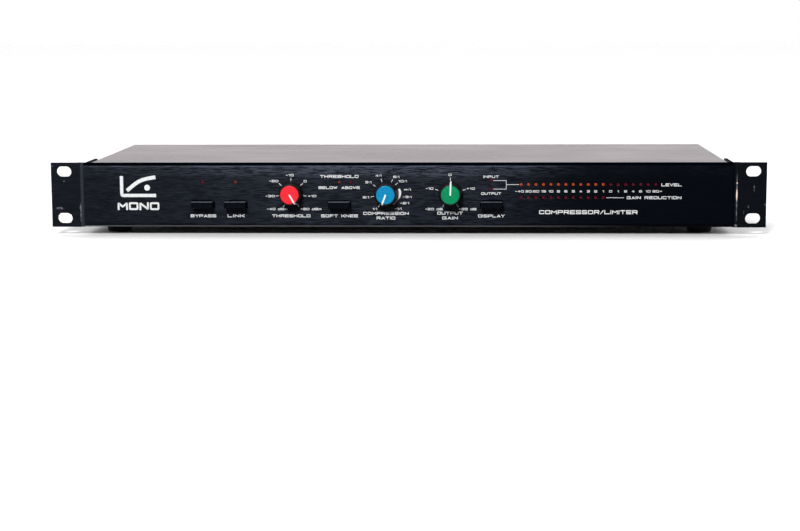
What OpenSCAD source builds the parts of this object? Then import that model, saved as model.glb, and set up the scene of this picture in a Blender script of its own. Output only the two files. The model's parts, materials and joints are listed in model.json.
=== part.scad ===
// Mono audio compressor for a 19-inch rack, one rack unit high.
// Origin: centre of the rack mounting plane, which the backs of both ears share.
// +X is right as seen from the front, +Y is towards the back, +Z is up.

/* [Rack panel] */
// Width over both rack ears
panel_w = 482.6; // [482:0.1:483]
// Height of the front panel
panel_h = 43.66; // [43.3:0.02:43.8]
// Thickness of the fascia and of the ears
panel_t = 3.2; // [3:0.1:4]
// Width of the fascia between the ears
fascia_w = 438; // [437:0.5:438.5]
// Radius of the fascia's long top and bottom edges
fascia_edge_r = 2.8; // [1:0.1:2.8]
// Distance between slot centres across the rack
slot_pitch_x = 465.1; // [464.8:0.1:465.4]
// Distance between slot centres up the rack
slot_pitch_z = 31.75; // [31.7:0.01:31.8]
// Length of a mounting slot
slot_len = 10.3; // [9.5:0.1:11]
// Height of a mounting slot
slot_h = 7.1; // [6.6:0.1:7.6]
// Depth of the flange behind each ear
ear_flange_d = 45; // [40:1:55]
// Thickness of the flange behind each ear
ear_flange_t = 2; // [1.6:0.1:3]

/* [Chassis] */
// Depth of the chassis behind the mounting plane
chassis_d = 177.8; // [177.8:0.1:190]
// Sheet thickness of the tray and the cover
sheet_t = 1.2; // [1:0.1:1.4]
// Height of the cover's top above the panel's centre line
cover_top = 20.4; // [20:0.1:21]
// Outer radius of the folds along the cover's long top edges
cover_fold_r = 2; // [1.6:0.1:2.5]
// Depth of the tray's underside below the panel's centre line
tray_under = 20.9; // [20.5:0.1:21.2]
// Height of a rubber foot
foot_h = 6.5; // [5:0.5:12]
// Radius of a rubber foot where it stands
foot_r = 8; // [6.5:0.5:9]

/* [Knobs] */
// Height of the knob axes above the panel's centre line
knob_z = 1.1; // [0.5:0.1:1.5]
// Place of the threshold knob across the panel
threshold_x = -78; // [-79:0.1:-77]
// Place of the ratio knob across the panel
ratio_x = -13.6; // [-15:0.1:-12]
// Place of the gain knob across the panel
gain_x = 29.8; // [29:0.1:31]
// Radius of a knob at its skirt
knob_skirt_r = 8.2; // [7.9:0.1:8.6]
// Radius of a knob at its front rim
knob_rim_r = 6.9; // [6.9:0.1:7.6]
// Radius of the coloured cap in a knob's face
knob_cap_r = 6.2; // [6:0.1:6.4]
// Distance of a knob's face in front of the fascia
knob_reach = 11.7; // [10.5:0.1:13]

/* [Push buttons] */
// Height of the buttons' centre line, below the panel's centre line when negative
button_z = -6.1; // [-6.3:0.1:-5.9]
// Place of the bypass button across the panel
bypass_x = -137.8; // [-139:0.1:-137]
// Place of the link button across the panel
link_x = -115.5; // [-117:0.1:-114]
// Place of the soft knee button across the panel
soft_knee_x = -45.2; // [-46:0.1:-45]
// Place of the display button across the panel
display_x = 57.4; // [57:0.1:58]
// Width of a button's face
button_w = 14.6; // [13:0.1:15]
// Height of a button's face
button_h = 4.7; // [4.4:0.1:5]
// Distance of a button's face in front of the fascia
button_reach = 7.5; // [6:0.1:9]

/* [Indicators] */
// Radius of a lamp's lens
led_r = 0.95; // [0.9:0.01:1.2]
// Distance between neighbouring lamps in the meter rows
meter_pitch = 5; // [4.9:0.01:5.02]
// Place of the first lamp in both meter rows
meter_x = 77.3; // [77:0.1:78]
// Height of the level row
level_z = 7.1; // [6.5:0.1:7.5]
// Height of the gain reduction row, below the centre line when negative
reduction_z = -1.75; // [-2:0.05:-1.5]
// Height of the lamps over the left-hand buttons
status_z = 8.7; // [8.2:0.1:9.2]

/* [Rear connectors] */
// Radius of the quarter-inch jack's bore
jack_bore_r = 3.25; // [3.2:0.01:3.3]
// Distance between neighbouring jacks
jack_pitch = 36; // [30:1:36]
// Place of the outermost jack across the rear
jack_x = -184; // [-186:1:-180]
// Number of screw terminals on the strip
terminal_count = 6; // [4:1:7]
// Distance between neighbouring screw terminals
terminal_pitch = 9.5; // [9:0.1:9.6]

/* [Hidden] */
$fn = 48;

over = 1;                                   // how far a cutter runs past a face
gap = 0.05;                                 // fit of one static piece on another
front_y = -panel_t;
fascia_x = fascia_w / 2;

// Sheet metal: the cover wraps over the tray's sides.
cover_x = fascia_x;
tray_x = cover_x - sheet_t - gap;
tray_in_x = tray_x - sheet_t;
tray_wall_top = cover_top - cover_fold_r;
floor_in_z = sheet_t - tray_under;
rear_t = 1.4;
rear_y = chassis_d - 0.2;                   // outer face of the rear panel
rear_in_y = rear_y - rear_t;

// Ears
ear_in_x = fascia_x + gap;
ear_bend_r = 2.5;
ear_screw_y = 26;
ear_screw_z = 10;
slot_r = slot_h / 2;

// Screw sizes: shank radius, head radius, head height
m3 = [1.5, 2.9, 2];
m4 = [1.95, 3.8, 2.6];
m3_clear_r = 1.7;
m4_clear_r = 2.2;
m3_nut_r = 3.2;
m4_nut_r = 4;
nut_h = 2.6;

// Circuit boards
board_t = 1.6;
board_top = -11.2;
board_under = board_top - board_t;
board_x = 212;
board_front_y = 5;
board_rear_y = 172;
board_bay_x = 126;                          // the board stops here beside the transformer
board_bay_y = 60;
post_xy = [[-204, 44], [-204, 130], [-60, 158], [112, 158], [204, 44], [60, 84], [-90, 84]];
display_board_y = 8;
display_board_x = [50, 174];

// Lamps
led_hole_r = led_r + 0.06;
led_flange_r = led_r + 0.3;
led_nose = 0.5;                             // how far a lens stands out of the fascia
level_count = 19;
amber_count = 12;
trio_pitch = 7.75;
source_z = [9.8, 4.05];                     // input lamp, output lamp
lead_w = 0.5;
lead_pitch = 2.54;

// Pots
pot_r = 8.25;
pot_y = sheet_t + gap;
pot_d = 10;
bush_r = 4.7;
bush_front_y = -3;
shaft_r = 3;
pot_nut_r = 6.9;
pot_hole_r = 7.2;
knob_back_y = front_y - 0.7;
knob_face_y = front_y - knob_reach;
knob_rim_y = knob_face_y + 0.6;
knob_x = [threshold_x, ratio_x, gain_x];

// Switches
button_x = [bypass_x, link_x, soft_knee_x, display_x];
button_back_y = 4;
plunger_w = 3.2;
switch_y = 14;
switch_d = 22;
switch_w = 10;
switch_h = 10.2;
switch_wall = 1.2;
collar_w = 6.6;
collar_y = switch_y + switch_wall + 0.1;
collar_t = 2;
spring_r = 2.3;
spring_wire_r = 0.35;
spring_turns = 5;

// Transformer
core_at = [182, 122, -2.9];
core_w = 48;
core_l = 57;
core_stack = 19;
strap_t = 1.2;
strap_w = 27;
strap_tab_l = 9;

// Rear connectors
inlet_x = 140;
inlet_flange = [50, 2.6, 23];
inlet_body = [27, 17.6, 19.8];
inlet_mouth = [24.4, 17, 16.4];
inlet_screw_x = 20;
fuse_x = 92;
trim_x = 52;
trim_z = board_top + 5;
trim_r = 1.6;
terminal_x = -20;
jack_mouth_y = rear_y + 8;
jack_bore_l = 32;
jack_at = [for (i = [0 : 2]) jack_x + i * jack_pitch];

// Places that repeat
foot_at = [for (x = [-200, 200], y = [22, 156]) [x, y]];
stud_x = [-200, -98, 8, 200];
stud_z = -15.5;
cover_screw_y = [75, 120, 163];
cover_screw_z = -6;
rear_screw_x = [-200, -95, 40, 200];
rear_flange_y = 166.2;

// ---- Helpers ----

// Box between two opposite corners
module span(low, high) {
    translate(low) cube(high - low);
}

// Cylinder along +Y from y0 to y1
module rod_y(x, z, r, y0, y1, r_end = undef) {
    translate([x, y0, z])
        rotate([-90, 0, 0])
            cylinder(h = y1 - y0, r1 = r, r2 = is_undef(r_end) ? r : r_end);
}

// Cylinder along +X from x0 to x1
module rod_x(y, z, r, x0, x1) {
    translate([x0, y, z])
        rotate([0, 90, 0])
            cylinder(h = x1 - x0, r = r);
}

// Pan head screw along -Z, its head standing on z = 0, with a cross recess
module pan_screw(size, length) {
    recess = size[1] * 0.6;
    difference() {
        union() {
            translate([0, 0, -length]) cylinder(h = length, r = size[0]);
            cylinder(h = size[2] * 0.55, r = size[1]);
            translate([0, 0, size[2] * 0.55])
                cylinder(h = size[2] * 0.45, r1 = size[1], r2 = size[1] * 0.62);
        }
        for (turn = [0, 90])
            rotate(turn)
                translate([-recess, -0.35, size[2] * 0.45]) cube([2 * recess, 0.7, size[2]]);
    }
}

// Hexagon nut standing on z = 0
module hex_nut(corner_r, bore_r, height) {
    difference() {
        cylinder(h = height, r = corner_r, $fn = 6);
        translate([0, 0, -over]) cylinder(h = height + 2 * over, r = bore_r);
    }
}

// Places its children on the right-hand side and mirrored on the left
module both_sides() {
    children();
    mirror([1, 0, 0]) children();
}

// ---- Case ----

module front_fascia() {
    edge_y = front_y + fascia_edge_r;
    edge_z = panel_h / 2 - fascia_edge_r;
    color([0.09, 0.1, 0.12]) {
        difference() {
            union() {
                span([-fascia_x, edge_y, -panel_h / 2], [fascia_x, 0, panel_h / 2]);
                span([-fascia_x, front_y, -edge_z], [fascia_x, 0, edge_z]);
                intersection() {
                    for (z = [-edge_z, edge_z])
                        rod_x(edge_y, z, fascia_edge_r, -fascia_x, fascia_x);
                    span([-panel_w, front_y - over, -panel_h], [panel_w, 0, panel_h]);
                }
            }
            for (x = knob_x)
                rod_y(x, knob_z, pot_hole_r, front_y - over, over);
            for (x = button_x)
                button_opening(x, 0.6, 0.45, front_y - over, over);
            for (at = lamp_places())
                rod_y(at[0], at[1], led_hole_r, front_y - over, over);
        }
        for (x = stud_x)
            rod_y(x, stud_z, m3[0], 0, 6);
    }
}

// Rectangular hole around a button, larger than its face by a margin on each side
module button_opening(x, margin_x, margin_z, y0, y1) {
    half = [button_w / 2 + margin_x, button_h / 2 + margin_z];
    span([x - half[0], y0, button_z - half[1]], [x + half[0], y1, button_z + half[1]]);
}

// Every lamp's place on the panel, as [x, z]
function level_places() = [for (i = [0 : level_count - 1]) [meter_x + i * meter_pitch, level_z]];
function reduction_places() =
    [for (i = [0 : amber_count - 1]) [meter_x + i * meter_pitch, reduction_z]];
function red_status_places() = [[bypass_x, status_z], [soft_knee_x + trio_pitch, status_z]];
function amber_status_places() = [[link_x, status_z], [soft_knee_x, status_z]];
function green_status_places() = [[soft_knee_x - trio_pitch, status_z]];
function source_places() = [for (z = source_z) [display_x - 0.2, z]];
function lamp_places() = concat(level_places(), reduction_places(), red_status_places(),
    amber_status_places(), green_status_places(), source_places());

module fascia_nuts() {
    color("silver")
        for (x = stud_x)
            translate([x, sheet_t + gap, stud_z])
                rotate([-90, 0, 0]) hex_nut(m3_nut_r, m3[0] + gap, nut_h);
}

// Right-hand ear: a slotted plate with a flange that runs back along the chassis
module ear() {
    plate_x = panel_w / 2;
    bend_x = ear_in_x + ear_bend_r;
    bend_y = front_y + ear_bend_r;
    flange_top = panel_h / 2 - 1.1;
    difference() {
        union() {
            span([bend_x, front_y, -panel_h / 2], [plate_x, 0, panel_h / 2]);
            span([ear_in_x, bend_y, -panel_h / 2], [plate_x, 0, panel_h / 2]);
            translate([bend_x, bend_y, -panel_h / 2]) cylinder(h = panel_h, r = ear_bend_r);
            span([ear_in_x, -0.5, -flange_top], [ear_in_x + ear_flange_t, ear_flange_d, flange_top]);
        }
        for (z = [-slot_pitch_z / 2, slot_pitch_z / 2])
            slot(slot_pitch_x / 2, z);
        for (z = [-ear_screw_z, ear_screw_z])
            rod_x(ear_screw_y, z, m4_clear_r, ear_in_x - over, ear_in_x + ear_flange_t + over);
    }
}

// Round-ended mounting slot through an ear
module slot(x, z) {
    half = slot_len / 2 - slot_r;
    for (side = [-half, half])
        rod_y(x + side, z, slot_r, front_y - over, over);
    span([x - half, front_y - over, z - slot_r], [x + half, over, z + slot_r]);
}

module rack_ear_right() {
    color([0.08, 0.09, 0.11]) ear();
}

module rack_ear_left() {
    color([0.08, 0.09, 0.11]) mirror([1, 0, 0]) ear();
}

module ear_screws() {
    head_x = ear_in_x + ear_flange_t;
    color([0.12, 0.12, 0.12])
        both_sides()
            for (z = [-ear_screw_z, ear_screw_z]) {
                translate([head_x, ear_screw_y, z])
                    rotate([0, 90, 0]) pan_screw(m4, head_x - tray_in_x + 4);
                translate([tray_in_x - nut_h, ear_screw_y, z])
                    rotate([0, 90, 0]) hex_nut(m4_nut_r, m4[0] + gap, nut_h);
            }
}

module chassis_tray() {
    color([0.13, 0.13, 0.14])
        difference() {
            span([-tray_x, 0, -tray_under], [tray_x, rear_y, tray_wall_top]);
            span([-tray_in_x, sheet_t, floor_in_z], [tray_in_x, rear_y + over, cover_top]);
            for (x = knob_x)
                rod_y(x, knob_z, bush_r + 0.1, -over, sheet_t + over);
            for (x = button_x)
                button_opening(x, 1.2, 0.9, -over, sheet_t + over);
            for (x = stud_x)
                rod_y(x, stud_z, m3_clear_r, -over, sheet_t + over);
            for (x = [bypass_x, link_x])
                lamp_window(x, x, status_z, status_z);
            lamp_window(soft_knee_x - trio_pitch, soft_knee_x + trio_pitch, status_z, status_z);
            lamp_window(display_x, display_x, source_z[1], source_z[0]);
            lamp_window(meter_x, meter_x + (level_count - 1) * meter_pitch, reduction_z, level_z);
            both_sides() {
                for (z = [-ear_screw_z, ear_screw_z])
                    rod_x(ear_screw_y, z, m4_clear_r, tray_in_x - over, tray_x + over);
                for (y = cover_screw_y)
                    rod_x(y, cover_screw_z, m3[0] + gap, tray_in_x - over, tray_x + over);
            }
            for (at = foot_at)
                floor_hole(at, m4_clear_r);
            for (x = rear_screw_x)
                floor_hole([x, (rear_flange_y + rear_in_y) / 2], m3_clear_r);
            for (side = [-1, 1])
                floor_hole([core_at[0], core_at[1] + side * strap_hole_y()], m4_clear_r);
        }
}

// Window in the tray's front wall behind lamps from x0 to x1 and from z0 to z1
module lamp_window(x0, x1, z0, z1) {
    margin = 2.6;
    span([x0 - margin, -over, z0 - margin], [x1 + margin, sheet_t + over, z1 + margin]);
}

module floor_hole(at, r) {
    translate([at[0], at[1], -tray_under - over])
        cylinder(h = sheet_t + 2 * over, r = r);
}

module top_cover() {
    cover_in_x = cover_x - sheet_t;
    color([0.16, 0.16, 0.17])
        difference() {
            channel(cover_x, -tray_under, cover_top, cover_fold_r, 0.3, chassis_d);
            channel(cover_in_x, -tray_under - over, cover_top - sheet_t, cover_fold_r - sheet_t,
                -over, chassis_d + over);
            both_sides() {
                for (z = [-ear_screw_z, ear_screw_z])
                    rod_x(ear_screw_y, z, m4_clear_r, cover_in_x - over, cover_x + over);
                for (y = cover_screw_y)
                    rod_x(y, cover_screw_z, m3_clear_r, cover_in_x - over, cover_x + over);
            }
        }
}

// Solid block with both of its long top edges rounded
module channel(half_x, bottom, top, r, y0, y1) {
    span([-half_x, y0, bottom], [half_x, y1, top - r]);
    span([r - half_x, y0, bottom], [half_x - r, y1, top]);
    both_sides() rod_y(half_x - r, top - r, r, y0, y1);
}

module cover_screws() {
    color([0.12, 0.12, 0.12])
        both_sides()
            for (y = cover_screw_y)
                translate([cover_x, y, cover_screw_z])
                    rotate([0, 90, 0]) pan_screw(m3, 5);
}

module rear_panel() {
    half_x = tray_in_x - 0.2;
    slot_half = terminal_pitch * terminal_count / 2 - 2;
    color([0.13, 0.13, 0.14])
        difference() {
            union() {
                span([-half_x, rear_in_y, floor_in_z], [half_x, rear_y, tray_wall_top]);
                span([-half_x, rear_flange_y, floor_in_z], [half_x, rear_y, floor_in_z + rear_t]);
            }
            for (x = jack_at)
                rod_y(x, 0, bush_r + 0.1, rear_in_y - over, rear_y + over);
            rod_y(fuse_x, 0, 6.2, rear_in_y - over, rear_y + over);
            rod_y(trim_x, trim_z, 2.6, rear_in_y - over, rear_y + over);
            span([inlet_x - 13.7, rear_in_y - over, -10.1], [inlet_x + 13.7, rear_y + over, 10.1]);
            for (x = [-inlet_screw_x, inlet_screw_x])
                rod_y(inlet_x + x, 0, m3_clear_r, rear_in_y - over, rear_y + over);
            span([terminal_x - slot_half, rear_in_y - over, -2],
                [terminal_x + slot_half, rear_y + over, 2]);
            for (x = rear_screw_x)
                translate([x, (rear_flange_y + rear_in_y) / 2, floor_in_z - over])
                    cylinder(h = rear_t + 2 * over, r = m3[0] + gap);
        }
}

module rear_panel_screws() {
    color([0.12, 0.12, 0.12]) {
        for (x = rear_screw_x)
            translate([x, (rear_flange_y + rear_in_y) / 2, -tray_under])
                rotate([180, 0, 0]) pan_screw(m3, 5);
        for (x = [-inlet_screw_x, inlet_screw_x])
            translate([inlet_x + x, rear_y + inlet_flange[1], 0])
                rotate([-90, 0, 0]) pan_screw(m3, 8);
    }
}

module rubber_feet() {
    color([0.05, 0.05, 0.05])
        for (at = foot_at)
            translate([at[0], at[1], -tray_under - foot_h])
                difference() {
                    cylinder(h = foot_h, r1 = foot_r, r2 = foot_r + 1);
                    translate([0, 0, -over]) cylinder(h = foot_h + 2 * over, r = m4_clear_r);
                    translate([0, 0, -over]) cylinder(h = over + 3.5, r = 4.4);
                }
}

module foot_screws() {
    seat_z = -tray_under - foot_h + 3.5;
    color("silver")
        for (at = foot_at) {
            translate([at[0], at[1], seat_z])
                rotate([180, 0, 0]) pan_screw(m4, floor_in_z - seat_z + 4);
            translate([at[0], at[1], floor_in_z]) hex_nut(m4_nut_r, m4[0] + gap, nut_h);
        }
}

// ---- Knobs and pots ----

module knob_body(x) {
    grip_y = knob_back_y - 2;
    color([0.06, 0.06, 0.07])
        difference() {
            union() {
                rod_y(x, knob_z, knob_skirt_r - 0.3, grip_y, knob_back_y, knob_skirt_r);
                rod_y(x, knob_z, knob_rim_r, knob_rim_y, grip_y, knob_skirt_r - 0.3);
            }
            rod_y(x, knob_z, shaft_r + 0.02, knob_face_y + 3, knob_back_y + over);
            rod_y(x, knob_z, knob_cap_r + gap, knob_rim_y - over, knob_rim_y + 1);
        }
}

module knob_cap(x, tint) {
    color(tint) rod_y(x, knob_z, knob_cap_r, knob_face_y, knob_rim_y + 1);
}

module knob_shaft(x) {
    color("silver") rod_y(x, knob_z, shaft_r, knob_face_y + 3.2, pot_y + 7.8);
}

module threshold_knob() { knob_body(threshold_x); }
module ratio_knob() { knob_body(ratio_x); }
module gain_knob() { knob_body(gain_x); }
module threshold_cap() { knob_cap(threshold_x, [0.95, 0.13, 0.18]); }
module ratio_cap() { knob_cap(ratio_x, [0, 0.56, 0.83]); }
module gain_cap() { knob_cap(gain_x, [0.03, 0.55, 0.36]); }
module threshold_shaft() { knob_shaft(threshold_x); }
module ratio_shaft() { knob_shaft(ratio_x); }
module gain_shaft() { knob_shaft(gain_x); }

module pot_housings() {
    color([0.55, 0.55, 0.57])
        for (x = knob_x)
            difference() {
                union() {
                    rod_y(x, knob_z, pot_r, pot_y, pot_y + pot_d);
                    rod_y(x, knob_z, bush_r, bush_front_y, pot_y + over);
                    span([x - 6, pot_y + 5, board_top], [x + 6, pot_y + 6, knob_z - pot_r + 3]);
                }
                rod_y(x, knob_z, shaft_r + gap, bush_front_y - over, pot_y + 8);
            }
}

module pot_nuts() {
    color("silver")
        for (x = knob_x)
            translate([x, 0, knob_z])
                rotate([90, 0, 0]) hex_nut(pot_nut_r, bush_r + gap, 2.3);
}

// ---- Push switches ----

module button_cap(x) {
    half = [button_w / 2, button_h / 2];
    socket = plunger_w / 2 + gap;
    color([0.05, 0.05, 0.06])
        difference() {
            span([x - half[0], front_y - button_reach, button_z - half[1]],
                [x + half[0], button_back_y, button_z + half[1]]);
            span([x - socket, -2.6, button_z - socket], [x + socket, 5, button_z + socket]);
        }
}

module switch_plunger(x) {
    half = plunger_w / 2;
    collar = collar_w / 2;
    color([0.9, 0.9, 0.86]) {
        span([x - half, -2.5, button_z - half], [x + half, collar_y + over, button_z + half]);
        span([x - collar, collar_y, button_z - collar],
            [x + collar, collar_y + collar_t, button_z + collar]);
        rod_y(x, button_z, 1.5, collar_y + collar_t - 0.5, switch_y + 16);
    }
}

module bypass_button() { button_cap(bypass_x); }
module link_button() { button_cap(link_x); }
module soft_knee_button() { button_cap(soft_knee_x); }
module display_button() { button_cap(display_x); }
module bypass_plunger() { switch_plunger(bypass_x); }
module link_plunger() { switch_plunger(link_x); }
module soft_knee_plunger() { switch_plunger(soft_knee_x); }
module display_plunger() { switch_plunger(display_x); }

module switch_housings() {
    bay = collar_w / 2 + 0.3;
    channel = plunger_w / 2 + 0.1;
    color([0.2, 0.2, 0.22])
        for (x = button_x)
            difference() {
                span([x - switch_w / 2, switch_y, board_top],
                    [x + switch_w / 2, switch_y + switch_d, board_top + switch_h]);
                span([x - bay, switch_y + switch_wall, button_z - bay],
                    [x + bay, switch_y + switch_d - switch_wall, button_z + bay]);
                span([x - channel, switch_y - over, button_z - channel],
                    [x + channel, switch_y + 2 * switch_wall, button_z + channel]);
            }
}

// Coil along +Z from z = 0, made of half rings tilted alternately so that their ends meet
module coil(ring_r, wire_r, turns, length) {
    rise = length / turns / 2;
    tilt = atan(rise / 2 / ring_r);
    for (i = [0 : 2 * turns - 1])
        translate([0, 0, (i + 0.5) * rise])
            rotate([0, i % 2 == 0 ? tilt : -tilt, 0])
                rotate(i % 2 == 0 ? 0 : 180)
                    rotate_extrude(angle = 180)
                        translate([ring_r / cos(tilt), 0]) circle(r = wire_r, $fn = 24);
}

module switch_springs() {
    y0 = collar_y + collar_t + spring_wire_r + gap;
    length = switch_y + switch_d - switch_wall - spring_wire_r - gap - y0;
    color("silver")
        for (x = button_x)
            translate([x, y0, button_z])
                rotate([-90, 0, 0]) coil(spring_r, spring_wire_r, spring_turns, length);
}

// ---- Lamps ----

// Lens with a domed nose, a flange behind the fascia and a base
module led_lens(at) {
    nose_y = front_y - led_nose;
    rod_y(at[0], at[1], led_r, nose_y + 0.6, 2);
    rod_y(at[0], at[1], led_r * 0.6, nose_y, nose_y + 0.6, led_r);
    rod_y(at[0], at[1], led_flange_r, 0.4, 1.4);
}

// Lamp whose leads run straight back to the display board
module board_led(at) {
    led_lens(at);
    for (side = [-0.5, 0.5])
        lead_block(at[0] + side * 1.27, 1.5, display_board_y, at[1], at[1]);
}

// Lamp whose leads spread, then stand down on the main board
module standing_led(at) {
    bend_y = 10;
    led_lens(at);
    for (side = [-1, 1]) {
        x = at[0] + side * 0.7;
        foot_x = at[0] + side * lead_pitch;
        lead_block(x, 1.5, bend_y, at[1], at[1]);
        span([min(x, foot_x) - lead_w / 2, bend_y - lead_w / 2, at[1] - lead_w / 2],
            [max(x, foot_x) + lead_w / 2, bend_y + lead_w / 2, at[1] + lead_w / 2]);
        lead_block(foot_x, bend_y - lead_w / 2, bend_y + lead_w / 2, board_top + lead_w / 2, at[1]);
    }
}

module lead_block(x, y0, y1, z0, z1) {
    span([x - lead_w / 2, y0, z0 - lead_w / 2], [x + lead_w / 2, y1, z1 + lead_w / 2]);
}

module level_leds_amber() {
    color([0.85, 0.35, 0.12])
        for (i = [0 : amber_count - 1]) board_led(level_places()[i]);
}

module level_leds_red() {
    color([0.55, 0.05, 0.15])
        for (i = [amber_count : level_count - 1]) board_led(level_places()[i]);
}

module reduction_leds() {
    color([0.55, 0.05, 0.15])
        for (at = reduction_places()) board_led(at);
}

module status_leds_red() {
    color([0.55, 0.05, 0.15]) {
        for (at = red_status_places()) standing_led(at);
        for (at = source_places()) board_led(at);
    }
}

module status_leds_amber() {
    color([0.85, 0.35, 0.12])
        for (at = amber_status_places()) standing_led(at);
}

module status_led_green() {
    color([0.05, 0.22, 0.12])
        for (at = green_status_places()) standing_led(at);
}

// ---- Electronics ----

module display_board() {
    top_z = 14;
    color([0.1, 0.4, 0.22])
        difference() {
            span([display_board_x[0], display_board_y, board_top + 0.2],
                [display_board_x[1], display_board_y + board_t, top_z]);
            span([display_board_x[0] - over, display_board_y - over, board_top - over],
                [display_x + 10, display_board_y + board_t + over, button_z + 5]);
        }
}

module ribbon_cable() {
    x0 = 100;
    x1 = 125;
    back_y = display_board_y + board_t;
    color([0.6, 0.6, 0.62]) {
        span([x0, back_y, -4], [x1, back_y + 4, 0]);
        span([x0 + 1, back_y + 3, -2.5], [x1 - 1, back_y + 20, -1.5]);
        span([x0 + 1, back_y + 19, -9], [x1 - 1, back_y + 20, -1.5]);
        span([x0, back_y + 17, board_top], [x1, back_y + 22, -8]);
    }
}

module main_board() {
    color([0.12, 0.42, 0.25])
        difference() {
            union() {
                span([-board_x, board_front_y, board_under], [board_x, board_bay_y, board_top]);
                span([-board_x, board_front_y, board_under],
                    [board_bay_x, board_rear_y - 8, board_top]);
            }
            for (at = post_xy)
                translate([at[0], at[1], board_under - over])
                    cylinder(h = board_t + 2 * over, r = m3_clear_r);
        }
}

module board_standoffs() {
    color("silver")
        for (at = post_xy)
            translate([at[0], at[1], floor_in_z])
                difference() {
                    cylinder(h = board_under - floor_in_z, r = 3.2);
                    translate([0, 0, 1]) cylinder(h = 10, r = m3[0] + gap);
                }
}

module board_screws() {
    color("silver")
        for (at = post_xy)
            translate([at[0], at[1], board_top]) pan_screw(m3, 6);
}

module transformer_core() {
    leg = core_l / 6;
    color([0.35, 0.35, 0.38])
        translate(core_at)
            difference() {
                cube([core_w, core_l, core_stack], center = true);
                for (side = [-1, 1])
                    translate([0, side * 1.5 * leg, 0])
                        cube([core_w - 2 * leg, leg, core_stack + over], center = true);
            }
}

module transformer_coil() {
    leg = core_l / 6;
    coil = [core_w - 2 * leg - 1, 4 * leg - 1.2, 32.6];
    color([0.75, 0.62, 0.2])
        translate(core_at)
            difference() {
                cube(coil, center = true);
                cube([coil[0] + over, 2 * leg + 0.3, core_stack + 0.3], center = true);
            }
}

function strap_hole_y() = core_l / 2 + gap + strap_t + strap_tab_l / 2;

module transformer_strap() {
    in_y = core_l / 2 + gap;
    top = 16.6;
    foot_z = floor_in_z - core_at[2];
    out_y = in_y + strap_t + strap_tab_l;
    color("silver")
        translate(core_at)
            difference() {
                union() {
                    span([-strap_w / 2, -in_y - strap_t, foot_z],
                        [strap_w / 2, in_y + strap_t, top + strap_t]);
                    span([-strap_w / 2, -out_y, foot_z], [strap_w / 2, out_y, foot_z + strap_t]);
                }
                span([-strap_w / 2 - over, -in_y, foot_z - over], [strap_w / 2 + over, in_y, top]);
                for (side = [-1, 1])
                    translate([0, side * strap_hole_y(), foot_z - over])
                        cylinder(h = strap_t + 2 * over, r = m4_clear_r);
            }
}

module transformer_screws() {
    color("silver")
        for (side = [-1, 1])
            translate([core_at[0], core_at[1] + side * strap_hole_y(), 0]) {
                translate([0, 0, -tray_under]) rotate([180, 0, 0]) pan_screw(m4, 6.6);
                translate([0, 0, floor_in_z + strap_t]) hex_nut(m4_nut_r, m4[0] + gap, nut_h);
            }
}

// Electrolytic capacitors: two reservoirs by the transformer and a row of smaller ones
module filter_capacitors() {
    color([0.1, 0.15, 0.3]) {
        for (x = [84, 106])
            translate([x, 112, board_top]) cylinder(h = 26, r = 9);
        for (i = [0 : 4])
            translate([-170 + i * 40, 60, board_top]) cylinder(h = 12, r = 4);
    }
}

module integrated_circuits() {
    color([0.08, 0.08, 0.08])
        for (x = [-160 : 40 : 0], y = [80, 120])
            translate([x, y, board_top]) {
                span([-4.9, -3.2, 1], [4.9, 3.2, 4.5]);
                for (i = [-1.5 : 1.5], side = [-1, 1])
                    translate([i * lead_pitch, side * 3.4, 1.25]) cube([1.2, 0.8, 2.5], center = true);
            }
}

// Two tab regulators, each bolted flat to its own finned heatsink
module voltage_regulators() {
    color([0.15, 0.15, 0.16])
        for (x = [84, 106])
            translate([x, 86, board_top]) {
                span([-7, 0, 0], [7, 3, 20]);
                for (i = [-2 : 2])
                    span([i * 3 - 0.6, 2, 0], [i * 3 + 0.6, 9, 20]);
                span([-5, -4.5, 3], [5, gap, 18]);
            }
}

// ---- Rear connectors ----

module power_inlet() {
    flange = inlet_flange / 2;
    body = inlet_body / 2;
    mouth = inlet_mouth / 2;
    outer_y = rear_y + inlet_flange[1];
    color([0.07, 0.07, 0.07])
        difference() {
            union() {
                span([inlet_x - flange[0], rear_y, -flange[2]], [inlet_x + flange[0], outer_y, flange[2]]);
                span([inlet_x - body[0], rear_y - inlet_body[1], -body[2]],
                    [inlet_x + body[0], rear_y + over, body[2]]);
            }
            difference() {
                span([inlet_x - mouth[0], outer_y - inlet_mouth[1], -mouth[2]],
                    [inlet_x + mouth[0], outer_y + over, mouth[2]]);
                for (side = [-1, 1])
                    translate([inlet_x + side * mouth[0], outer_y, mouth[2]])
                        rotate([0, 45, 0]) cube([7, 60, 7], center = true);
            }
            for (x = [-inlet_screw_x, inlet_screw_x])
                rod_y(inlet_x + x, 0, m3_clear_r, rear_y - over, outer_y + over);
        }
}

// Three flat blades standing on the inlet's floor
module inlet_pins() {
    floor_y = rear_y + inlet_flange[1] - inlet_mouth[1];
    color("silver")
        for (at = [[-7, -2], [0, 2], [7, -2]])
            span([inlet_x + at[0] - 1, floor_y, at[1] - 2], [inlet_x + at[0] + 1, floor_y + 12, at[1] + 2]);
}

module fuse_holder() {
    color([0.06, 0.06, 0.06])
        difference() {
            union() {
                rod_y(fuse_x, 0, 6, rear_y - 26, rear_y + over);
                rod_y(fuse_x, 0, 8, rear_y, rear_y + 1.8);
                rod_y(fuse_x, 0, 6.6, rear_y + 1.5, rear_y + 10, 6.1);
            }
            span([fuse_x - 4, rear_y + 9, -0.5], [fuse_x + 4, rear_y + 11, 0.5]);
        }
}

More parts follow.
